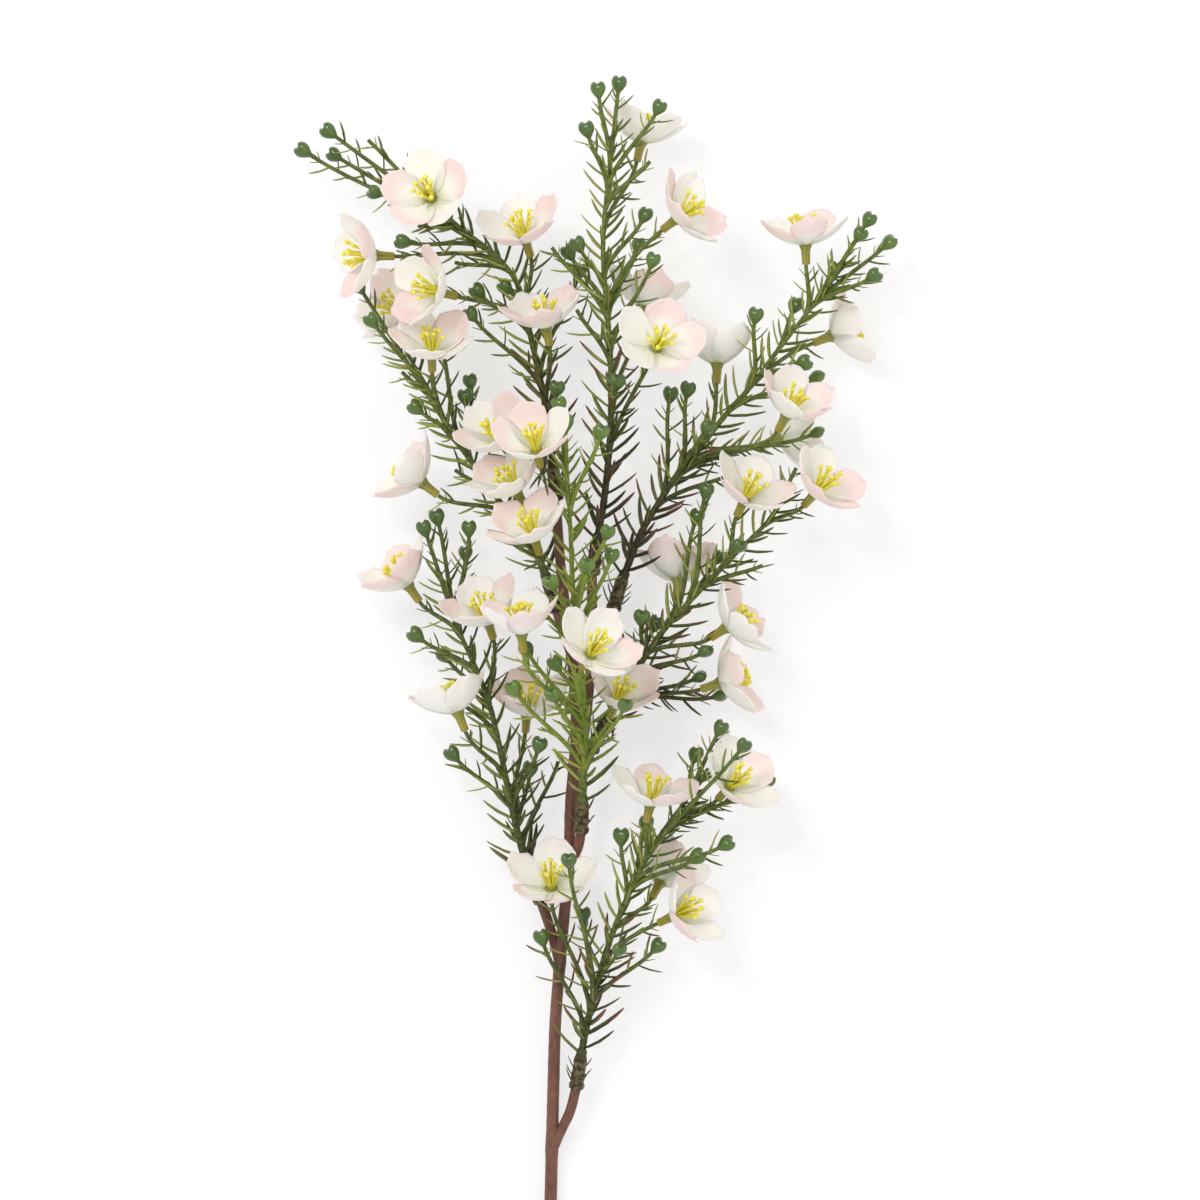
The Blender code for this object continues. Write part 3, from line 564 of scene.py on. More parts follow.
def bend_clear(shoots, fixed):
    """Bends the shoots until what they carry clears the other bodies."""
    worst = 0.0
    for _ in range(BEND_ROUNDS):
        rows = [(i, *ball) for i, shoot in enumerate(shoots) for ball in shoot.balls()]
        rows += [(-1, point, radius, body, 0.0) for point, radius, body in fixed]
        owner = np.array([row[0] for row in rows])
        centre = np.array([row[1] for row in rows])
        radius = np.array([row[2] for row in rows])
        names = {name: k for k, name in enumerate(sorted({row[3] for row in rows}))}
        body = np.array([names[row[3]] for row in rows])
        give = np.array([row[4] for row in rows])
        worst = 0.0
        for i, shoot in enumerate(shoots):
            mine = np.flatnonzero((owner == i) & (give > 0))
            margin = 6 * MM
            low, high = centre[mine].min(axis=0) - margin, centre[mine].max(axis=0) + margin
            rest = np.flatnonzero((owner != i) & ((centre > low) & (centre < high)).all(axis=1))
            apart = centre[mine][:, None] - centre[rest][None]
            gap = np.sqrt((apart**2).sum(axis=2))
            bite = radius[mine][:, None] + radius[rest][None] + BODY_CLEARANCE - gap
            bite[body[mine][:, None] == body[rest][None]] = 0
            if bite.size == 0 or bite.max() <= 0 or shoot.fixed:
                continue
            a, b = np.unravel_index(bite.argmax(), bite.shape)
            away = Vector(apart[a, b]).normalized()
            shoot.nudge(away * min(1.2 * MM, 0.5 * bite.max() / max(give[mine[a]], 0.4)))
            worst = max(worst, bite.max())
        if worst < 0.1 * MM:
            break
    return worst


def rib_radii(count, length):
    """A thick socket, a step down, then an even taper to the tip."""
    radii = []
    for k in range(count):
        at = k / (count - 1) * length
        if at < SOCKET_LENGTH:
            radii.append(SOCKET_RADIUS * (1 - 0.12 * at / SOCKET_LENGTH))
        else:
            share = (at - SOCKET_LENGTH) / (length - SOCKET_LENGTH)
            radii.append(RIB_RADIUS + (RIB_TIP_RADIUS - RIB_RADIUS) * share)
    return radii


def peg_line(foot, seat, lean):
    """A peg's middle line from inside the stem to its flat end at a sprig's socket."""
    reach = (seat - foot).length
    return bend(foot, foot + 0.35 * reach * (seat - foot).normalized(), seat - 0.45 * reach * lean, seat, 3)


def settled_shoots(ribs, lines):
    """Every shoot of the plan, bent clear of the others, and the balls of the ribs and stem that stay put."""
    shoots = []
    for name, plan in SPRIGS.items():
        for number, x, y, height, turn, rise, opened in plan["blooms"]:
            aim = heading(turn, rise)
            shoots.append(Shoot(name, "bloom", (x, y, height), ribs[name], aim, opened, number))
        for kind, key in (("bud", "buds"), ("tip", "tips")):
            shoots += [Shoot(name, kind, spot, ribs[name]) for spot in plan[key]]
    fixed = []
    for name, rib in ribs.items():
        dense = smooth_route(rib, 2.5 * MM)
        radii = rib_radii(len(dense), 2.5 * MM * len(dense))
        fixed += [(point, radius, name) for point, radius in zip(dense, radii)]
    for name, line in lines.items():
        radius = STEM_RADIUS if name in ENDS else PEG_RADIUS
        inside = smooth_route(line, 3 * MM)[:-2]
        fixed += [(point, radius, "main_stem") for point in inside]
    bend_clear(shoots, fixed)
    return shoots, fixed


def stem_lines(ribs):
    """The middle lines of the stem and its pegs, by the sprig that sits on each."""
    leans = {name: tangents(rib)[0] for name, rib in ribs.items()}
    seats = {name: rib[0] - SEAT_GAP * leans[name] for name, rib in ribs.items()}
    lines = {}
    for name, plan in ENDS.items():
        lines[name] = smooth_route([*(place(*p) for p in plan), seats[name]], STEM_STEP)
    for name, plan in SPRIGS.items():
        if plan["peg"]:
            lines[name] = peg_line(place(*plan["peg"]), seats[name], leans[name])
    return lines


class Room:
    """The room that is left for needles between the bodies and among the needles grown before."""

    def __init__(self, shoots, fixed):
        balls = [ball[:3] for shoot in shoots for ball in shoot.balls()] + fixed
        self.centres = np.array([ball[0] for ball in balls])
        self.radii = np.array([ball[1] for ball in balls])
        self.bodies = np.array([ball[2] for ball in balls])
        self.grown = []

    def start(self, sprig):
        """Begins a sprig: the needles of the sprigs before it are now in the way, its own aren't."""
        self.sprig = sprig
        self.others = np.array(self.grown) if self.grown else np.empty((0, 3))

    def take(self, root, tip):
        """Keeps a needle's place and returns True, if it clears the surface and every other body."""
        spots = [np.array(root.lerp(tip, share)) for share in NEEDLE_SHARES]
        for spot in spots:
            near = np.linalg.norm(self.centres - spot, axis=1) < self.radii + NEEDLE_RADIUS + NEEDLE_BODY_GAP
            crowded = len(self.others) and (np.linalg.norm(self.others - spot, axis=1) < NEEDLE_APART).any()
            if spot[2] < LOWEST_CLEARANCE or crowded or (near & (self.bodies != self.sprig)).any():
                return False
        self.grown += spots
        return True


class Value:
    """A shader or geometry socket that Python's operators work on, by adding Math nodes."""

    def __init__(self, tree, socket):
        self.tree, self.socket = tree, socket

    def maths(self, operation, *others, clamp=False):
        settings = {"operation": operation, "use_clamp": clamp}
        return add_node(self.tree, "ShaderNodeMath", settings, dict(enumerate((self, *others))))

    def __add__(self, other):
        return self.maths("ADD", other)

    def __sub__(self, other):
        return self.maths("SUBTRACT", other)

    def __mul__(self, other):
        return self.maths("MULTIPLY", other)

    def __pow__(self, other):
        return self.maths("POWER", other)

    def __rsub__(self, other):
        return (self * -1.0) + other

    __radd__ = __add__
    __rmul__ = __mul__

    def clamped(self):
        return self.maths("ADD", 0.0, clamp=True)

    def ramped(self, low, high):
        """0 at low, 1 at high, and smooth between them."""
        settings = {"interpolation_type": "SMOOTHSTEP"}
        values = {"Value": self, "From Min": low, "From Max": high}
        return add_node(self.tree, "ShaderNodeMapRange", settings, values)


def live_socket(sockets, key):
    """The socket with a name, or at a place in the row, of those that the node's settings leave in use."""
    live = [socket for socket in sockets if socket.enabled]
    return live[key] if isinstance(key, int) else next(socket for socket in live if socket.name == key)


def put(tree, socket, value):
    """Links a value to a socket, or sets a plain one."""
    if isinstance(value, Value):
        tree.links.new(value.socket, socket)
    else:
        socket.default_value = value


def add_node(tree, kind, settings=None, values=None, output=0):
    """Adds a node, first its settings and then the values or links of its sockets, and returns an output."""
    node = tree.nodes.new(kind)
    for key, value in (settings or {}).items():
        if key == "stops":
            set_stops(node.color_ramp.elements, value)
        else:
            setattr(node, key, value)
    for key, value in (values or {}).items():
        put(tree, live_socket(node.inputs, key), value)
    return Value(tree, live_socket(node.outputs, output))


def set_stops(elements, stops):
    while len(elements) < len(stops):
        elements.new(0.5)
    for element, (at, colour) in zip(elements, stops):
        element.position = at
        element.color = (*colour, 1.0)


class Surface:
    """A material in the making: its node tree and its shader."""

    def __init__(self, name):
        self.material = bpy.data.materials.new(name)
        self.material.use_nodes = True
        self.tree = self.material.node_tree
        self.shader = self.tree.nodes["Principled BSDF"]

    def node(self, kind, settings=None, values=None, output=0):
        return add_node(self.tree, kind, settings, values, output)

    def marks(self, *names):
        """The values of the piece's own marks, by name."""
        return [self.node("ShaderNodeAttribute", {"attribute_name": name}, output="Fac") for name in names]

    def grain(self, scale, detail=3.0):
        """Noise in object space: scale is the number of features in a metre."""
        spot = self.node("ShaderNodeTexCoord", output="Object")
        return self.noise(spot, scale, detail, 0.55)

    def noise(self, spot, scale, detail, rough):
        values = {"Vector": spot, "Scale": scale, "Detail": detail, "Roughness": rough}
        return self.node("ShaderNodeTexNoise", {}, values)

    def blend(self, share, first, second):
        """A colour between two colours, each a tuple or a link."""
        first, second = ((*c, 1.0) if isinstance(c, tuple) else c for c in (first, second))
        return self.node("ShaderNodeMix", {"data_type": "RGBA"}, {"Factor": share, "A": first, "B": second})

    def ramp(self, share, *stops):
        """A colour ramp through (place, colour) stops."""
        return self.node("ShaderNodeValToRGB", {"stops": stops}, {"Fac": share}, "Color")

    def bump(self, height, distance, strength):
        values = {"Height": height, "Distance": distance, "Strength": strength}
        put(self.tree, self.shader.inputs["Normal"], self.node("ShaderNodeBump", {}, values))

    def finish(self, **values):
        """Feeds the shader's sockets by their names in small letters, and hands the material over."""
        sockets = {socket.name.lower().replace(" ", "_"): socket for socket in self.shader.inputs}
        for name, value in values.items():
            put(self.tree, sockets[name], value)
        return self.material


def petal_finish():
    """Printed cloth: cream white, pink towards the rim, green at the claw, with a fine weave and veins."""
    surface = Surface("petal_cloth")
    along, side, blush = surface.marks("along", "side", "blush")
    cloud = surface.grain(70.0, 2.0)
    edge = (side * side * 0.25 + along + (cloud - 0.5) * 0.4 + blush * 0.35).ramped(0.66, 1.12)
    pink = (edge * blush).clamped()
    colour = surface.blend(pink, (0.94, 0.92, 0.84), (0.92, 0.66, 0.64))
    colour = surface.blend((1.0 - along.ramped(0.0, 0.38)) * 0.6, colour, (0.78, 0.80, 0.46))
    veins = (side * 34.0 + (cloud - 0.5) * 6.0).maths("SINE")
    colour = surface.blend((veins * 0.5 + 0.5) * 0.05, colour, (0.84, 0.80, 0.72))
    surface.bump(veins * 0.16 + surface.grain(1400.0, 2.0) * 0.9 + cloud * 2.0, 0.22 * MM, 0.55)
    return surface.finish(
        base_color=colour, roughness=0.72, sheen_weight=0.15,
        subsurface_weight=0.35, subsurface_radius=(0.004, 0.003, 0.0022), subsurface_scale=1.0,
    )


def leaf_finish():
    """Moulded plastic: near black at a dark sprig's foot, then green, with rusty tips and a painted highlight
    on one side of each needle.
    """
    surface = Surface("sprig_plastic")
    age, along, seam, rust, bark = surface.marks("age", "along", "seam", "rust", "bark")
    patch = surface.grain(90.0)
    tone = (age + (patch - 0.5) * 0.30).clamped()
    colour = surface.ramp(
        tone, (0.0, (0.022, 0.014, 0.009)), (0.22, (0.036, 0.027, 0.012)), (0.42, (0.030, 0.036, 0.010)),
        (0.66, (0.040, 0.070, 0.011)), (0.84, (0.080, 0.126, 0.016)), (1.0, (0.165, 0.240, 0.024)),
    )
    # Painted highlight: one side of each needle is blended towards pale yellow-green, more where the green is
    # fresh; on the stalks the same mark gives paler bands.
    pale = (seam**1.6 * (tone.ramped(0.05, 0.75) * 0.8 + 0.12)).clamped()
    colour = surface.blend(pale, colour, (0.36, 0.39, 0.078))
    colour = surface.blend((rust * along.ramped(0.35, 0.95)).clamped(), colour, (0.17, 0.055, 0.035))
    knots = surface.grain(420.0).ramped(0.42, 0.6)
    knots = surface.blend(knots, (0.035, 0.021, 0.010), (0.155, 0.125, 0.050))
    colour = surface.blend(bark, colour, knots)
    surface.bump(surface.grain(900.0, 2.0) + surface.grain(240.0, 2.0) * 1.4, 0.3 * MM, 0.5)
    rough = surface.grain(160.0) * 0.22 + 0.34
    return surface.finish(base_color=colour, roughness=rough, specular_ior_level=0.32)


def bud_finish():
    """Glossy green plastic with a darker seam between the two lobes."""
    surface = Surface("bud_plastic")
    age, seam = surface.marks("age", "seam")
    patch = surface.grain(220.0, 2.0)
    tone = (age + (patch - 0.5) * 0.25).clamped()
    colour = surface.ramp(
        tone, (0.0, (0.022, 0.022, 0.010)), (0.35, (0.036, 0.080, 0.018)), (0.7, (0.086, 0.155, 0.022)),
        (1.0, (0.160, 0.270, 0.034)),
    )
    colour = surface.blend(seam * 0.7, colour, (0.024, 0.062, 0.014))
    surface.bump(patch, 0.3 * MM, 0.4)
    return surface.finish(
        base_color=colour, roughness=0.22, coat_weight=0.5, coat_roughness=0.06, specular_ior_level=0.4)


def tube_finish():
    """The olive yellow tube under a bloom, ribbed, and greener at its foot."""
    surface = Surface("tube_plastic")
    along, side = surface.marks("along", "side")
    ribs = (side * (10.0 * math.pi)).maths("SINE")
    colour = surface.blend(along.ramped(0.1, 0.9), (0.40, 0.33, 0.040), (0.27, 0.30, 0.050))
    colour = surface.blend((ribs * 0.5 + 0.5) * 0.35, colour, (0.17, 0.15, 0.022))
    surface.bump(ribs + surface.grain(500.0), 0.4 * MM, 0.5)
    return surface.finish(
        base_color=colour, roughness=0.42,
        subsurface_weight=0.15, subsurface_radius=(0.002, 0.0015, 0.0006), subsurface_scale=1.0,
    )


def stamen_finish():
    """Bright yellow plastic, paler at the heads."""
    surface = Surface("stamen_plastic")
    [along] = surface.marks("along")
    colour = surface.blend(along.ramped(0.1, 0.95), (0.66, 0.62, 0.05), (0.88, 0.79, 0.10))
    colour = surface.blend(surface.grain(700.0) * 0.4, colour, (0.78, 0.70, 0.06))
    surface.bump(surface.grain(1500.0), 0.2 * MM, 0.5)
    return surface.finish(
        base_color=colour, roughness=0.5,
        subsurface_weight=0.2, subsurface_radius=(0.002, 0.0015, 0.0004), subsurface_scale=1.0,
    )


def stem_finish():
    """Reddish brown coated wire with fine streaks along it and darker rings at the forks."""
    surface = Surface("stem_coating")
    along, side, ring = surface.marks("along", "side", "ring")
    cloud = surface.grain(38.0, 4.0)
    streak = surface.node("ShaderNodeCombineXYZ", {}, {"X": side * 14.0, "Y": along * 26.0})
    streak = surface.noise(streak, 1.0, 4.0, 0.6)
    shade = (cloud * 0.55 + streak * 0.6).clamped()
    colour = surface.ramp(
        shade, (0.3, (0.048, 0.018, 0.012)), (0.5, (0.135, 0.050, 0.029)), (0.75, (0.225, 0.094, 0.057)))
    colour = surface.blend((ring * 0.6).clamped(), colour, (0.085, 0.040, 0.028))
    surface.bump(streak * 1.4 + surface.grain(600.0) * 0.6, 0.5 * MM, 0.55)
    return surface.finish(base_color=colour, roughness=surface.grain(120.0) * 0.25 + 0.36)


def floor_finish():
    surface = Surface("pale_floor")
    colour = surface.blend(surface.grain(6.0, 2.0), (0.44, 0.44, 0.44), (0.47, 0.47, 0.47))
    return surface.finish(
        base_color=colour, roughness=0.9, specular_ior_level=0.1,
        emission_color=(1.0, 0.995, 0.995, 1.0), emission_strength=FLOOR_GLOW,
    )


def new_mesh(name, verts, faces=(), edges=(), marks=None):
    """An object with its vertices in place. marks holds a value or a vector for each vertex by name."""
    mesh = bpy.data.meshes.new(name)
    mesh.from_pydata([tuple(v) for v in verts], [tuple(e) for e in edges], [tuple(f) for f in faces])
    for key, values in (marks or {}).items():
        flat = np.array([tuple(v) if isinstance(v, Vector) else v for v in values], dtype=float)
        kind, field = ("FLOAT_VECTOR", "vector") if flat.ndim == 2 else ("FLOAT", "value")
        mesh.attributes.new(key, kind, "POINT").data.foreach_set(field, flat.ravel())
    obj = bpy.data.objects.new(name, mesh)
    bpy.context.scene.collection.objects.link(obj)
    return obj


class Marked:
    """Points that each have a value of every mark, and edges between those that follow one another."""

    def __init__(self):
        self.verts, self.edges, self.marks = [], [], {}

    def add(self, point, follows=False, **marks):
        """Adds a point, with an edge from the point before where it follows that one."""
        if follows:
            self.edges.append((len(self.verts) - 1, len(self.verts)))
        self.verts.append(point)
        for name, value in marks.items():
            self.marks.setdefault(name, []).append(value)

    def mesh(self, name):
        return new_mesh(name, self.verts, edges=self.edges, marks=self.marks)


def ringed(rings, close_top=True):
    """The points of rings of the same number of points, the faces between them and a closed foot."""
    sides, faces = len(rings[0]), []
    for ring in range(len(rings) - 1):
        for k in range(sides):
            a, b = ring * sides + k, ring * sides + (k + 1) % sides
            faces.append((a, b, b + sides, a + sides))
    last = (len(rings) - 1) * sides
    faces.append(tuple(range(sides))[::-1])
    if close_top:
        faces.append(tuple(range(last, last + sides)))
    return [v for ring in rings for v in ring], faces


def needle_shape():
    """One needle along +Z, a unit long: four-sided, a little bowed, with a blunt tip."""
    rings, along, seam = [], [], []
    for at, wide in NEEDLE_PROFILE:
        ring = []
        for k in range(4):
            a = math.pi / 2 * k + math.pi / 4
            x, y = math.cos(a) * 0.85, math.sin(a) * 1.2
            bow = 0.05 * math.sin(math.pi * at)
            ring.append(Vector((wide * x * 0.050 + bow, wide * y * 0.050, at)))
            along.append(at)
            # Painted highlight: the two corners on one side get the full mark, so that side of the needle is
            # coloured paler.
            seam.append(1.0 if k in (0, 1) else 0.15)
        rings.append(ring)
    return new_mesh("needle_shape", *ringed(rings), marks={"along": along, "seam": seam})


def bud_shape():
    """One bud along +Z, a unit long: a heart of two plump lobes that meet in a valley."""
    rings, seam = [], []
    for at, wide in BUD_PROFILE:
        ring = []
        for k in range(BUD_COLUMNS):
            a = 2 * math.pi * k / BUD_COLUMNS
            x, y = math.cos(a), math.sin(a)
            valley = (1 - abs(x)) ** 2
            lift = 0.06 * abs(x) * (at > 0.8) - 0.16 * valley * at**5
            ring.append(Vector((0.44 * wide * x, 0.36 * wide * y * (1 - 0.16 * valley * at), at + lift)))
            seam.append(valley * max(0.0, at - 0.45) * 1.6)
        rings.append(ring)
    verts, faces = ringed(rings, close_top=False)
    crest = len(verts)
    last = crest - BUD_COLUMNS
    verts += [Vector((0.22, 0, 1.03)), Vector((0, 0, 0.84)), Vector((-0.22, 0, 1.03))]
    seam += [0.1, 1.0, 0.1]

    def over(column):
        """The crest point that closes a column: one lobe's top, the valley or the other lobe's top."""
        x = math.cos(2 * math.pi * (column + 0.5) / BUD_COLUMNS)
        return crest if x > 0.25 else crest + 2 if x < -0.25 else crest + 1

    for k in range(BUD_COLUMNS):
        a, b = last + k, last + (k + 1) % BUD_COLUMNS
        faces.append((a, b, over(k)))
        if over(k + 1) != over(k):
            faces.append((b, over(k + 1), over(k)))
    return new_mesh("bud_shape", verts, faces, marks={"seam": seam, "along": [v.z for v in verts]})


def stamen_shape():
    """One stamen along +Z, a unit long: a thin thread that bows outward and ends in a knob."""
    rings, along = [], []
    for at, wide in STAMEN_PROFILE:
        ring = []
        for k in range(STAMEN_SIDES):
            a = 2 * math.pi * k / STAMEN_SIDES
            ring.append(Vector((wide * math.cos(a) + 0.10 * at * at, wide * math.sin(a), at)))
            along.append(at)
        rings.append(ring)
    return new_mesh("stamen_shape", *ringed(rings), marks={"along": along})


def tree_with(name, sockets):
    """A geometry node tree with named inputs, and the values of those inputs by name."""
    tree = bpy.data.node_groups.new(name, "GeometryNodeTree")
    tree.interface.new_socket("Geometry", in_out="OUTPUT", socket_type="NodeSocketGeometry")
    for label, kind in {"Geometry": "NodeSocketGeometry", **sockets}.items():
        tree.interface.new_socket(label, in_out="INPUT", socket_type=kind)
    return tree, {s.name: Value(tree, s) for s in tree.nodes.new("NodeGroupInput").outputs}


def end_tree(tree, made, finish):
    """Makes instances real, smooths and finishes what a tree has made, and hands it out."""
    made = add_node(tree, "GeometryNodeRealizeInstances", {}, {"Geometry": made})
    made = add_node(tree, "GeometryNodeSetShadeSmooth", {}, {"Geometry": made})
    made = add_node(tree, "GeometryNodeSetMaterial", {}, {"Geometry": made, "Material": finish})
    put(tree, tree.nodes.new("NodeGroupOutput").inputs["Geometry"], made)
    return tree


def named_value(tree, name, kind="FLOAT"):
    return add_node(tree, "GeometryNodeInputNamedAttribute", {"data_type": kind}, {"Name": name})


def grow_tree():
    """Sweeps a round section along the edges by their thick mark, and closes the ends."""
    tree, given = tree_with("swept_stalks", {"Sides": "NodeSocketInt", "Finish": "NodeSocketMaterial"})
    thick = named_value(tree, "thick")
    line = add_node(tree, "GeometryNodeMeshToCurve", {}, {"Mesh": given["Geometry"]})
    line = add_node(tree, "GeometryNodeSetCurveRadius", {}, {"Curve": line, "Radius": thick})
    circle = {"Resolution": given["Sides"], "Radius": 1.0}
    circle = add_node(tree, "GeometryNodeCurvePrimitiveCircle", {}, circle)
    turn = add_node(tree, "GeometryNodeSplineParameter", output="Factor")
    circle = {"Geometry": circle, "Name": "side", "Value": turn}
    circle = add_node(tree, "GeometryNodeStoreNamedAttribute", {}, circle)
    sweep = {"Curve": line, "Profile Curve": circle, "Scale": thick, "Fill Caps": True}
    return end_tree(tree, add_node(tree, "GeometryNodeCurveToMesh", {}, sweep), given["Finish"])


def scatter_tree():
    """Puts a shape on each point, turned and sized by the point's marks."""
    tree, given = tree_with("scattered_shapes", {"Shape": "NodeSocketObject", "Finish": "NodeSocketMaterial"})
    turn = named_value(tree, "turn", "FLOAT_VECTOR")
    turn = add_node(tree, "FunctionNodeEulerToRotation", {}, {"Euler": turn})
    shape = add_node(tree, "GeometryNodeObjectInfo", {}, {"Object": given["Shape"]}, "Geometry")
    points = add_node(tree, "GeometryNodeMeshToPoints", {}, {"Mesh": given["Geometry"]})
    placed = {"Points": points, "Instance": shape, "Rotation": turn, "Scale": named_value(tree, "size")}
    return end_tree(tree, add_node(tree, "GeometryNodeInstanceOnPoints", {}, placed), given["Finish"])


def applied(obj, modifier):
    """The object with what its modifier makes as a plain mesh in place of its own."""
    graph = bpy.context.evaluated_depsgraph_get()
    mesh = bpy.data.meshes.new_from_object(obj.evaluated_get(graph))
    obj.modifiers.remove(modifier)
    obj.data = mesh
    return obj


def grown(obj, tree, **inputs):
    """The object with what the tree makes of its points and marks."""
    modifier = obj.modifiers.new("grow", "NODES")
    modifier.node_group = tree
    sockets = {item.name: item.identifier for item in tree.interface.items_tree if item.in_out == "INPUT"}
    for label, value in inputs.items():
        modifier[sockets[label]] = value
    return applied(obj, modifier)


def joined(name, pieces):
    """One object of several, each with its marks and its finish."""
    with bpy.context.temp_override(
        active_object=pieces[0], selected_editable_objects=pieces, object=pieces[0]
    ):
        bpy.ops.object.join()
    pieces[0].name = pieces[0].data.name = name
    return pieces[0]


def turned(direction, hint):
    """The Euler turn that takes +Z to a direction and +X as near the hint as can be."""
    x, y = across(direction, hint)
    return Vector(Matrix((x, y, direction)).transposed().to_euler())


def petals(shoot, finish):
    """Five cloth petals: claw, round blade, cupped, with a wavy rim. Marks run along and across each."""
    draw = np.random.default_rng(shoot.number)
    hint, other = across(shoot.axis, BLOOM_HINT)
    spin = draw.uniform(0, 2 * math.pi / PETALS)
    twists, swings = petal_turns(draw, shoot.opened)
    pinker = draw.permutation(PETALS) < 2 + int(shoot.number) % 2
    blushes = [draw.uniform(0.75, 1.0) if pinker[k] else draw.uniform(0.05, 0.35) for k in range(PETALS)]
    waves = draw.uniform(0, 2 * math.pi, (PETALS, 3))
    cloth, faces = Marked(), []
    row = PETAL_COLUMNS + 1
    for k in range(PETALS):
        radial = around(spin + 2 * math.pi * k / PETALS, hint, other)
        sideways = shoot.axis.cross(radial)
        wide = 1.0 + 0.06 * math.sin(waves[k][0])
        first = len(cloth.verts)
        for i in range(PETAL_ROWS + 1):
            for j in range(row):
                share, side = i / PETAL_ROWS, 2 * j / PETAL_COLUMNS - 1
                rim = 1 - 0.30 * abs(side) ** 2.6 - 0.018 * math.cos(side * 7 + waves[k][0]) * share
                along = share * rim
                out, across_by, up = petal_point(along, side, swings[k], twists[k])
                ruffle = math.sin(side * 6 + waves[k][1]) * 0.55 + math.sin(side * 11 + waves[k][2]) * 0.3
                cup = 0.5 * (1 - side * side) * math.sin(math.pi * along)
                up += (ruffle * along**3 + (k % 2) * PETAL_LAP * along - cup) * MM
                spot = shoot.spot + out * radial + wide * across_by * sideways + up * shoot.axis
                cloth.add(spot, along=along, side=side, blush=float(blushes[k]))
        for i in range(PETAL_ROWS):
            for j in range(PETAL_COLUMNS):
                a = first + i * row + j
                faces.append((a, a + row, a + row + 1, a + 1))
    obj = new_mesh("petals", cloth.verts, faces, marks=cloth.marks)
    obj.data.materials.append(finish)
    wall = obj.modifiers.new("cloth", "SOLIDIFY")
    wall.thickness, wall.offset = CLOTH_THICKNESS, 0.0
    applied(obj, wall).data.shade_smooth()
    return obj


def throat(shoot, finish):
    """The ribbed tube under the petals, with its collar and the small cone that the stamens stand on."""
    hint, other = across(shoot.axis, BLOOM_HINT)
    low, high = TUBE_PROFILE[0][0], TUBE_PROFILE[-1][0]
    rings, along, side = [], [], []
    for height, radius in TUBE_PROFILE:
        ring = []
        for k in range(TUBE_COLUMNS):
            a = 2 * math.pi * k / TUBE_COLUMNS
            rib = 1 + 0.05 * math.cos(5 * a) * (height < 0)
            out = radius * rib * MM * around(a, hint, other)
            ring.append(shoot.spot + height * MM * shoot.axis + out)
            along.append((height - low) / (high - low))
            side.append(k / TUBE_COLUMNS)
        rings.append(ring)
    obj = new_mesh("tube", *ringed(rings), marks={"along": along, "side": side})
    obj.data.materials.append(finish)
    obj.data.shade_smooth()
    return obj


def crown(shoot, shape, tree, finish):
    """Stamens round the throat, each on its own lean."""
    draw = np.random.default_rng(100 + shoot.number)
    hint, other = across(shoot.axis, BLOOM_HINT)
    seeds = Marked()
    for k in range(STAMENS):
        out = around(2 * math.pi * (k + draw.uniform(-0.25, 0.25)) / STAMENS, hint, other)
        lean = draw.uniform(0.12, 0.42) if k % 3 else draw.uniform(0.02, 0.14)
        foot = shoot.spot + 0.9 * MM * out + 0.6 * MM * shoot.axis
        turn = turned((shoot.axis + lean * out).normalized(), out)
        seeds.add(foot, turn=turn, size=STAMEN_LENGTH * draw.uniform(0.9, 1.1))
    return grown(seeds.mesh("crown"), tree, Shape=shape, Finish=finish)


def share_up(rib, point):
    """How far up a sprig a point is: 0 at its foot and 1 at the distance of its rib's tip."""
    return min(1.0, (point - rib[0]).length / (rib[-1] - rib[0]).length)


def age_at(name, share):
    """How fresh the green is at a share of the way up a sprig."""
    dark, reach, fresh = TONES[name]
    return dark + (fresh - dark) * min(1.0, share / reach) ** 1.3


def free_needle(room, root, ahead, turn, reach, spread):
    """A needle's direction and outward side where it has room, or None after a few tries."""
    up, side = across(ahead, NEEDLE_HINT)
    for attempt in range(NEEDLE_TRIES):
        out = around(turn + attempt * NEEDLE_RETRY_TURN, up, side)
        direction = (NEEDLE_LEAN * ahead + spread * out).normalized()
        if room.take(root, root + reach * direction):
            return direction, out
    return None


def needle_seeds(name, rib, own, room):
    """Where each needle of a sprig stands, by the golden angle along the rib and each shoot."""
    dark, _, fresh = TONES[name]
    draw = np.random.default_rng(len(name) + 7 * len(own))
    hosts = [(rib, NEEDLE_FULL_STEP, 3, RIB_NEEDLE_SIZES)]
    hosts += [(shoot.fine(), SHOOT_FULL_STEP, 1, SHOOT_NEEDLE_SIZES) for shoot in own]
    seeds = Marked()
    turn = float(len(name))
    for line, step, first, (low_size, high_size) in hosts:
        length = sum((b - a).length for a, b in zip(line, line[1:]))
        ahead = tangents(line)
        count = max(1, int(length * (len(line) - first) / len(line) / step))
        for k in range(count):
            at = first + (len(line) - 1.4 - first) * (k + 0.5) / count
            index = int(at)
            root = line[index].lerp(line[min(index + 1, len(line) - 1)], at - index)
            turn += GOLDEN_ANGLE
            share = share_up(rib, root)
            reach = (low_size + (high_size - low_size) * share) * NEEDLE_LENGTH * draw.uniform(0.82, 1.08)
            spread = draw.uniform(0.9, 1.1) * NEEDLE_SPREAD
            found = free_needle(room, root, ahead[index], turn, reach, spread)
            if found:
                rust = 0.9 if share < 0.5 and dark < 0.3 and draw.uniform() < 0.5 else 0.0
                seeds.add(root, turn=turned(*found), size=reach, age=age_at(name, share), rust=rust, bark=0.0)
    add_short_needles(seeds, own, 0.2 + 0.8 * fresh)
    add_socket_needles(seeds, rib, dark, draw)
    return seeds


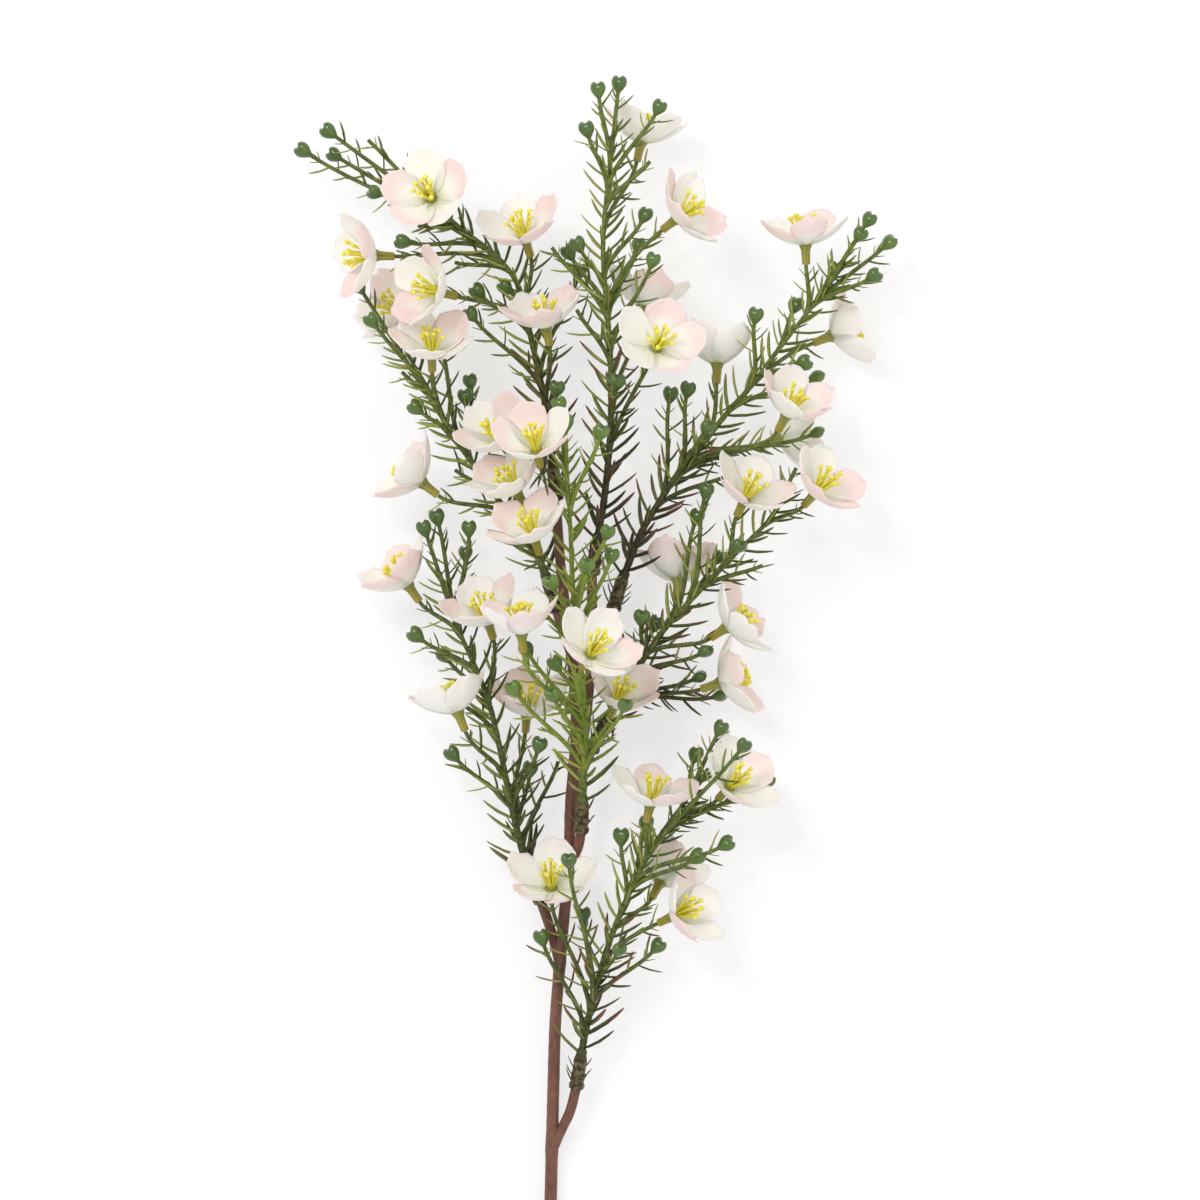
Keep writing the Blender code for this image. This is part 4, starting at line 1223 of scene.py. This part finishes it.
def add_short_needles(seeds, own, age):
    """Two short needles on each shoot, just below the bloom, the bud or the tip that it carries."""
    for shoot in own:
        ahead = shoot.ahead()
        up, side = across(ahead, NEEDLE_HINT)
        for sign in (-1, 1):
            direction = (0.8 * ahead + 0.6 * sign * side).normalized()
            seeds.add(shoot.end() - SHORT_NEEDLE_BACK * ahead, turn=turned(direction, up),
                      size=SHORT_NEEDLE_SIZE * NEEDLE_LENGTH, age=age, rust=0.0, bark=0.0)


def add_socket_needles(seeds, rib, dark, draw):
    """Short needles of the bark's colour, in staggered rings round the socket."""
    ahead = tangents(rib)[0]
    up, side = across(ahead, NEEDLE_HINT)
    for ring in range(SCAR_RINGS):
        for k in range(SCARS_PER_RING):
            a = 2 * math.pi * (k + 0.5 * (ring % 2)) / SCARS_PER_RING + draw.uniform(-0.2, 0.2)
            out = around(a, up, side)
            root = rib[0].lerp(rib[2], (ring + 0.7) / SCAR_RINGS) + 0.72 * SOCKET_RADIUS * out
            seeds.add(root, turn=turned((0.8 * ahead + 0.6 * out).normalized(), out),
                      size=draw.uniform(0.34, 0.6) * NEEDLE_LENGTH, age=dark, rust=0.0, bark=0.8)


def bud_seeds(name, own):
    """Where each bud of a sprig stands, on the end of its shoot."""
    fresh = TONES[name][2]
    draw = np.random.default_rng(3 + len(own))
    buds = [shoot for shoot in own if shoot.kind == "bud"]
    sizes = [BUD_LENGTH * draw.uniform(0.94, 1.08) for _ in buds]
    ages = [min(1.0, 0.35 + 0.5 * fresh * draw.uniform(0.6, 1.1)) for _ in buds]
    seeds = Marked()
    for shoot, size, age in zip(buds, sizes, ages):
        ahead = shoot.ahead()
        seeds.add(shoot.end() - BUD_SINK * ahead, turn=turned(ahead, BUD_HINT), size=size, age=age)
    return seeds


def rib_widths(dense):
    """The rib's radius at each point: a knobbly socket, a step down, then an even taper with slight waves."""
    socket = sum((point - dense[0]).length < SOCKET_LENGTH + 3 * MM for point in dense)
    widths = []
    for k in range(len(dense)):
        near = k / socket
        if near < 0.8:
            width = SOCKET_RADIUS * (1.0 - 0.16 * near) * (1 + 0.07 * math.sin(2.4 * k))
        elif near < 1:
            width = 0.72 * SOCKET_RADIUS
        else:
            share = (k - socket) / (len(dense) - socket)
            width = RIB_RADIUS + (RIB_TIP_RADIUS - RIB_RADIUS) * share
        widths.append(width * (1 + 0.06 * math.sin(1.9 * k)))
    return widths


def stalks(name, rib, own, tree, finish):
    """The sprig's socket, rib and shoots as one swept piece."""
    dense = smooth_route(rib, DENSE_RIB_STEP)
    lines = [(dense, rib_widths(dense))]
    for shoot in own:
        line = shoot.fine()
        count = len(line) - 1
        lines.append((line, [FINE_SHOOT_RADIUS - FINE_SHOOT_TAPER * k / count for k in range(count + 1)]))
    sweep = Marked()
    for line, widths in lines:
        for k, (point, width) in enumerate(zip(line, widths)):
            bark = 1.0 if (point - rib[0]).length < SOCKET_LENGTH else 0.0
            # The stalks carry the needles' painted-highlight mark too, alternating from point to point, which
            # colours them in paler bands.
            sweep.add(point, follows=k > 0, thick=width, age=age_at(name, share_up(rib, point)),
                      seam=0.25 + 0.25 * (k % 2), bark=bark)
    return grown(sweep.mesh("stalks"), tree, Sides=STALK_SIDES, Finish=finish)


def coated_stem(lines, tree, finish):
    """The main stem and its pegs, with a ring of coating at each fork."""
    main_line = next(iter(ENDS))
    forks = [line[0] for name, line in lines.items() if name != main_line]
    sweep = Marked()
    for name, line in lines.items():
        dense = smooth_route(line, DENSE_STEM_STEP)
        count = len(dense) - 1
        for k, point in enumerate(dense):
            width = PEG_RADIUS
            if name == main_line:
                width = STEM_RADIUS + (STEM_TIP_RADIUS - STEM_RADIUS) * (k / count)
            swell = max(0.0, 1 - min((point - fork).length for fork in forks) / FORK_REACH)
            ring = 0.7 * swell * (0.5 + 0.5 * math.sin(k * 2.2)) + (0.8 if k in (0, count) else 0.0)
            sweep.add(point, follows=k > 0, thick=width * (1 + 0.10 * swell + 0.012 * math.sin(k * 1.7)),
                      along=k * DENSE_STEM_STEP * 10, ring=ring)
    return grown(sweep.mesh("coated_stem"), tree, Sides=STEM_SIDES, Finish=finish)


def floor_and_light():
    """A pale floor, a large soft light from the upper left and an even pale surround."""
    corners = [(x * FLOOR_HALF, y * FLOOR_HALF, 0) for x, y in ((-1, -1), (1, -1), (1, 1), (-1, 1))]
    floor = new_mesh("floor", corners, [(0, 1, 2, 3)])
    floor.data.materials.append(floor_finish())
    for name, (spot, power, size) in LIGHTS.items():
        light = bpy.data.lights.new(name, "AREA")
        light.energy, light.size = power, size
        lamp = bpy.data.objects.new(name, light)
        lamp.location = spot
        lamp.rotation_euler = (-Vector(spot)).to_track_quat("-Z", "Y").to_euler()
        bpy.context.scene.collection.objects.link(lamp)
    world = bpy.data.worlds.new("studio")
    world.use_nodes = True
    surround = world.node_tree.nodes["Background"]
    surround.inputs["Color"].default_value = (1.0, 0.99, 1.0, 1.0)
    surround.inputs["Strength"].default_value = SURROUND_STRENGTH
    bpy.context.scene.world = world
    bpy.context.scene.view_settings.view_transform = "Standard"


def camera_above():
    """The camera, straight above the middle of the view."""
    camera = bpy.data.cameras.new("camera")
    camera.lens, camera.sensor_width, camera.clip_end = CAMERA_LENS, SENSOR, CAMERA_REACH
    holder = bpy.data.objects.new("camera", camera)
    middle = place(*CAMERA_MIDDLE, 0)
    holder.location = (middle.x, middle.y, CAMERA_HEIGHT)
    bpy.context.scene.collection.objects.link(holder)
    bpy.context.scene.camera = holder


def main():
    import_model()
    floor_and_light()
    camera_above()

    ribs = {}
    for name, plan in SPRIGS.items():
        ribs[name] = smooth_route([place(*p) for p in plan["rib"]], RIB_STEP)
    lines = stem_lines(ribs)
    shoots, fixed = settled_shoots(ribs, lines)
    room = Room(shoots, fixed)

    sweep, scatter = grow_tree(), scatter_tree()
    needle, bud, stamen = needle_shape(), bud_shape(), stamen_shape()
    leaf, gloss = leaf_finish(), bud_finish()
    petal, tube, yellow = petal_finish(), tube_finish(), stamen_finish()

    pieces = [(coated_stem(lines, sweep, stem_finish()), "main_stem", "stem_brown")]
    for name, rib in ribs.items():
        own = [shoot for shoot in shoots if shoot.sprig == name]
        room.start(name)
        needles = needle_seeds(name, rib, own, room).mesh("needles")
        parts = [
            stalks(name, rib, own, sweep, leaf),
            grown(needles, scatter, Shape=needle, Finish=leaf),
            grown(bud_seeds(name, own).mesh("buds"), scatter, Shape=bud, Finish=gloss),
        ]
        pieces.append((joined(f"{name}_foliage", parts), name, "sprig_green"))
    for shoot in shoots:
        if shoot.kind == "bloom":
            parts = [petals(shoot, petal), throat(shoot, tube), crown(shoot, stamen, scatter, yellow)]
            name = f"bloom_{shoot.number:02d}"
            pieces.append((joined(f"{name}_cloth", parts), name, "petal_white"))
    for shape in (needle, bud, stamen):
        bpy.data.objects.remove(shape)
    for piece, node, slot in pieces:
        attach(piece, "root")
        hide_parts(node)


main()
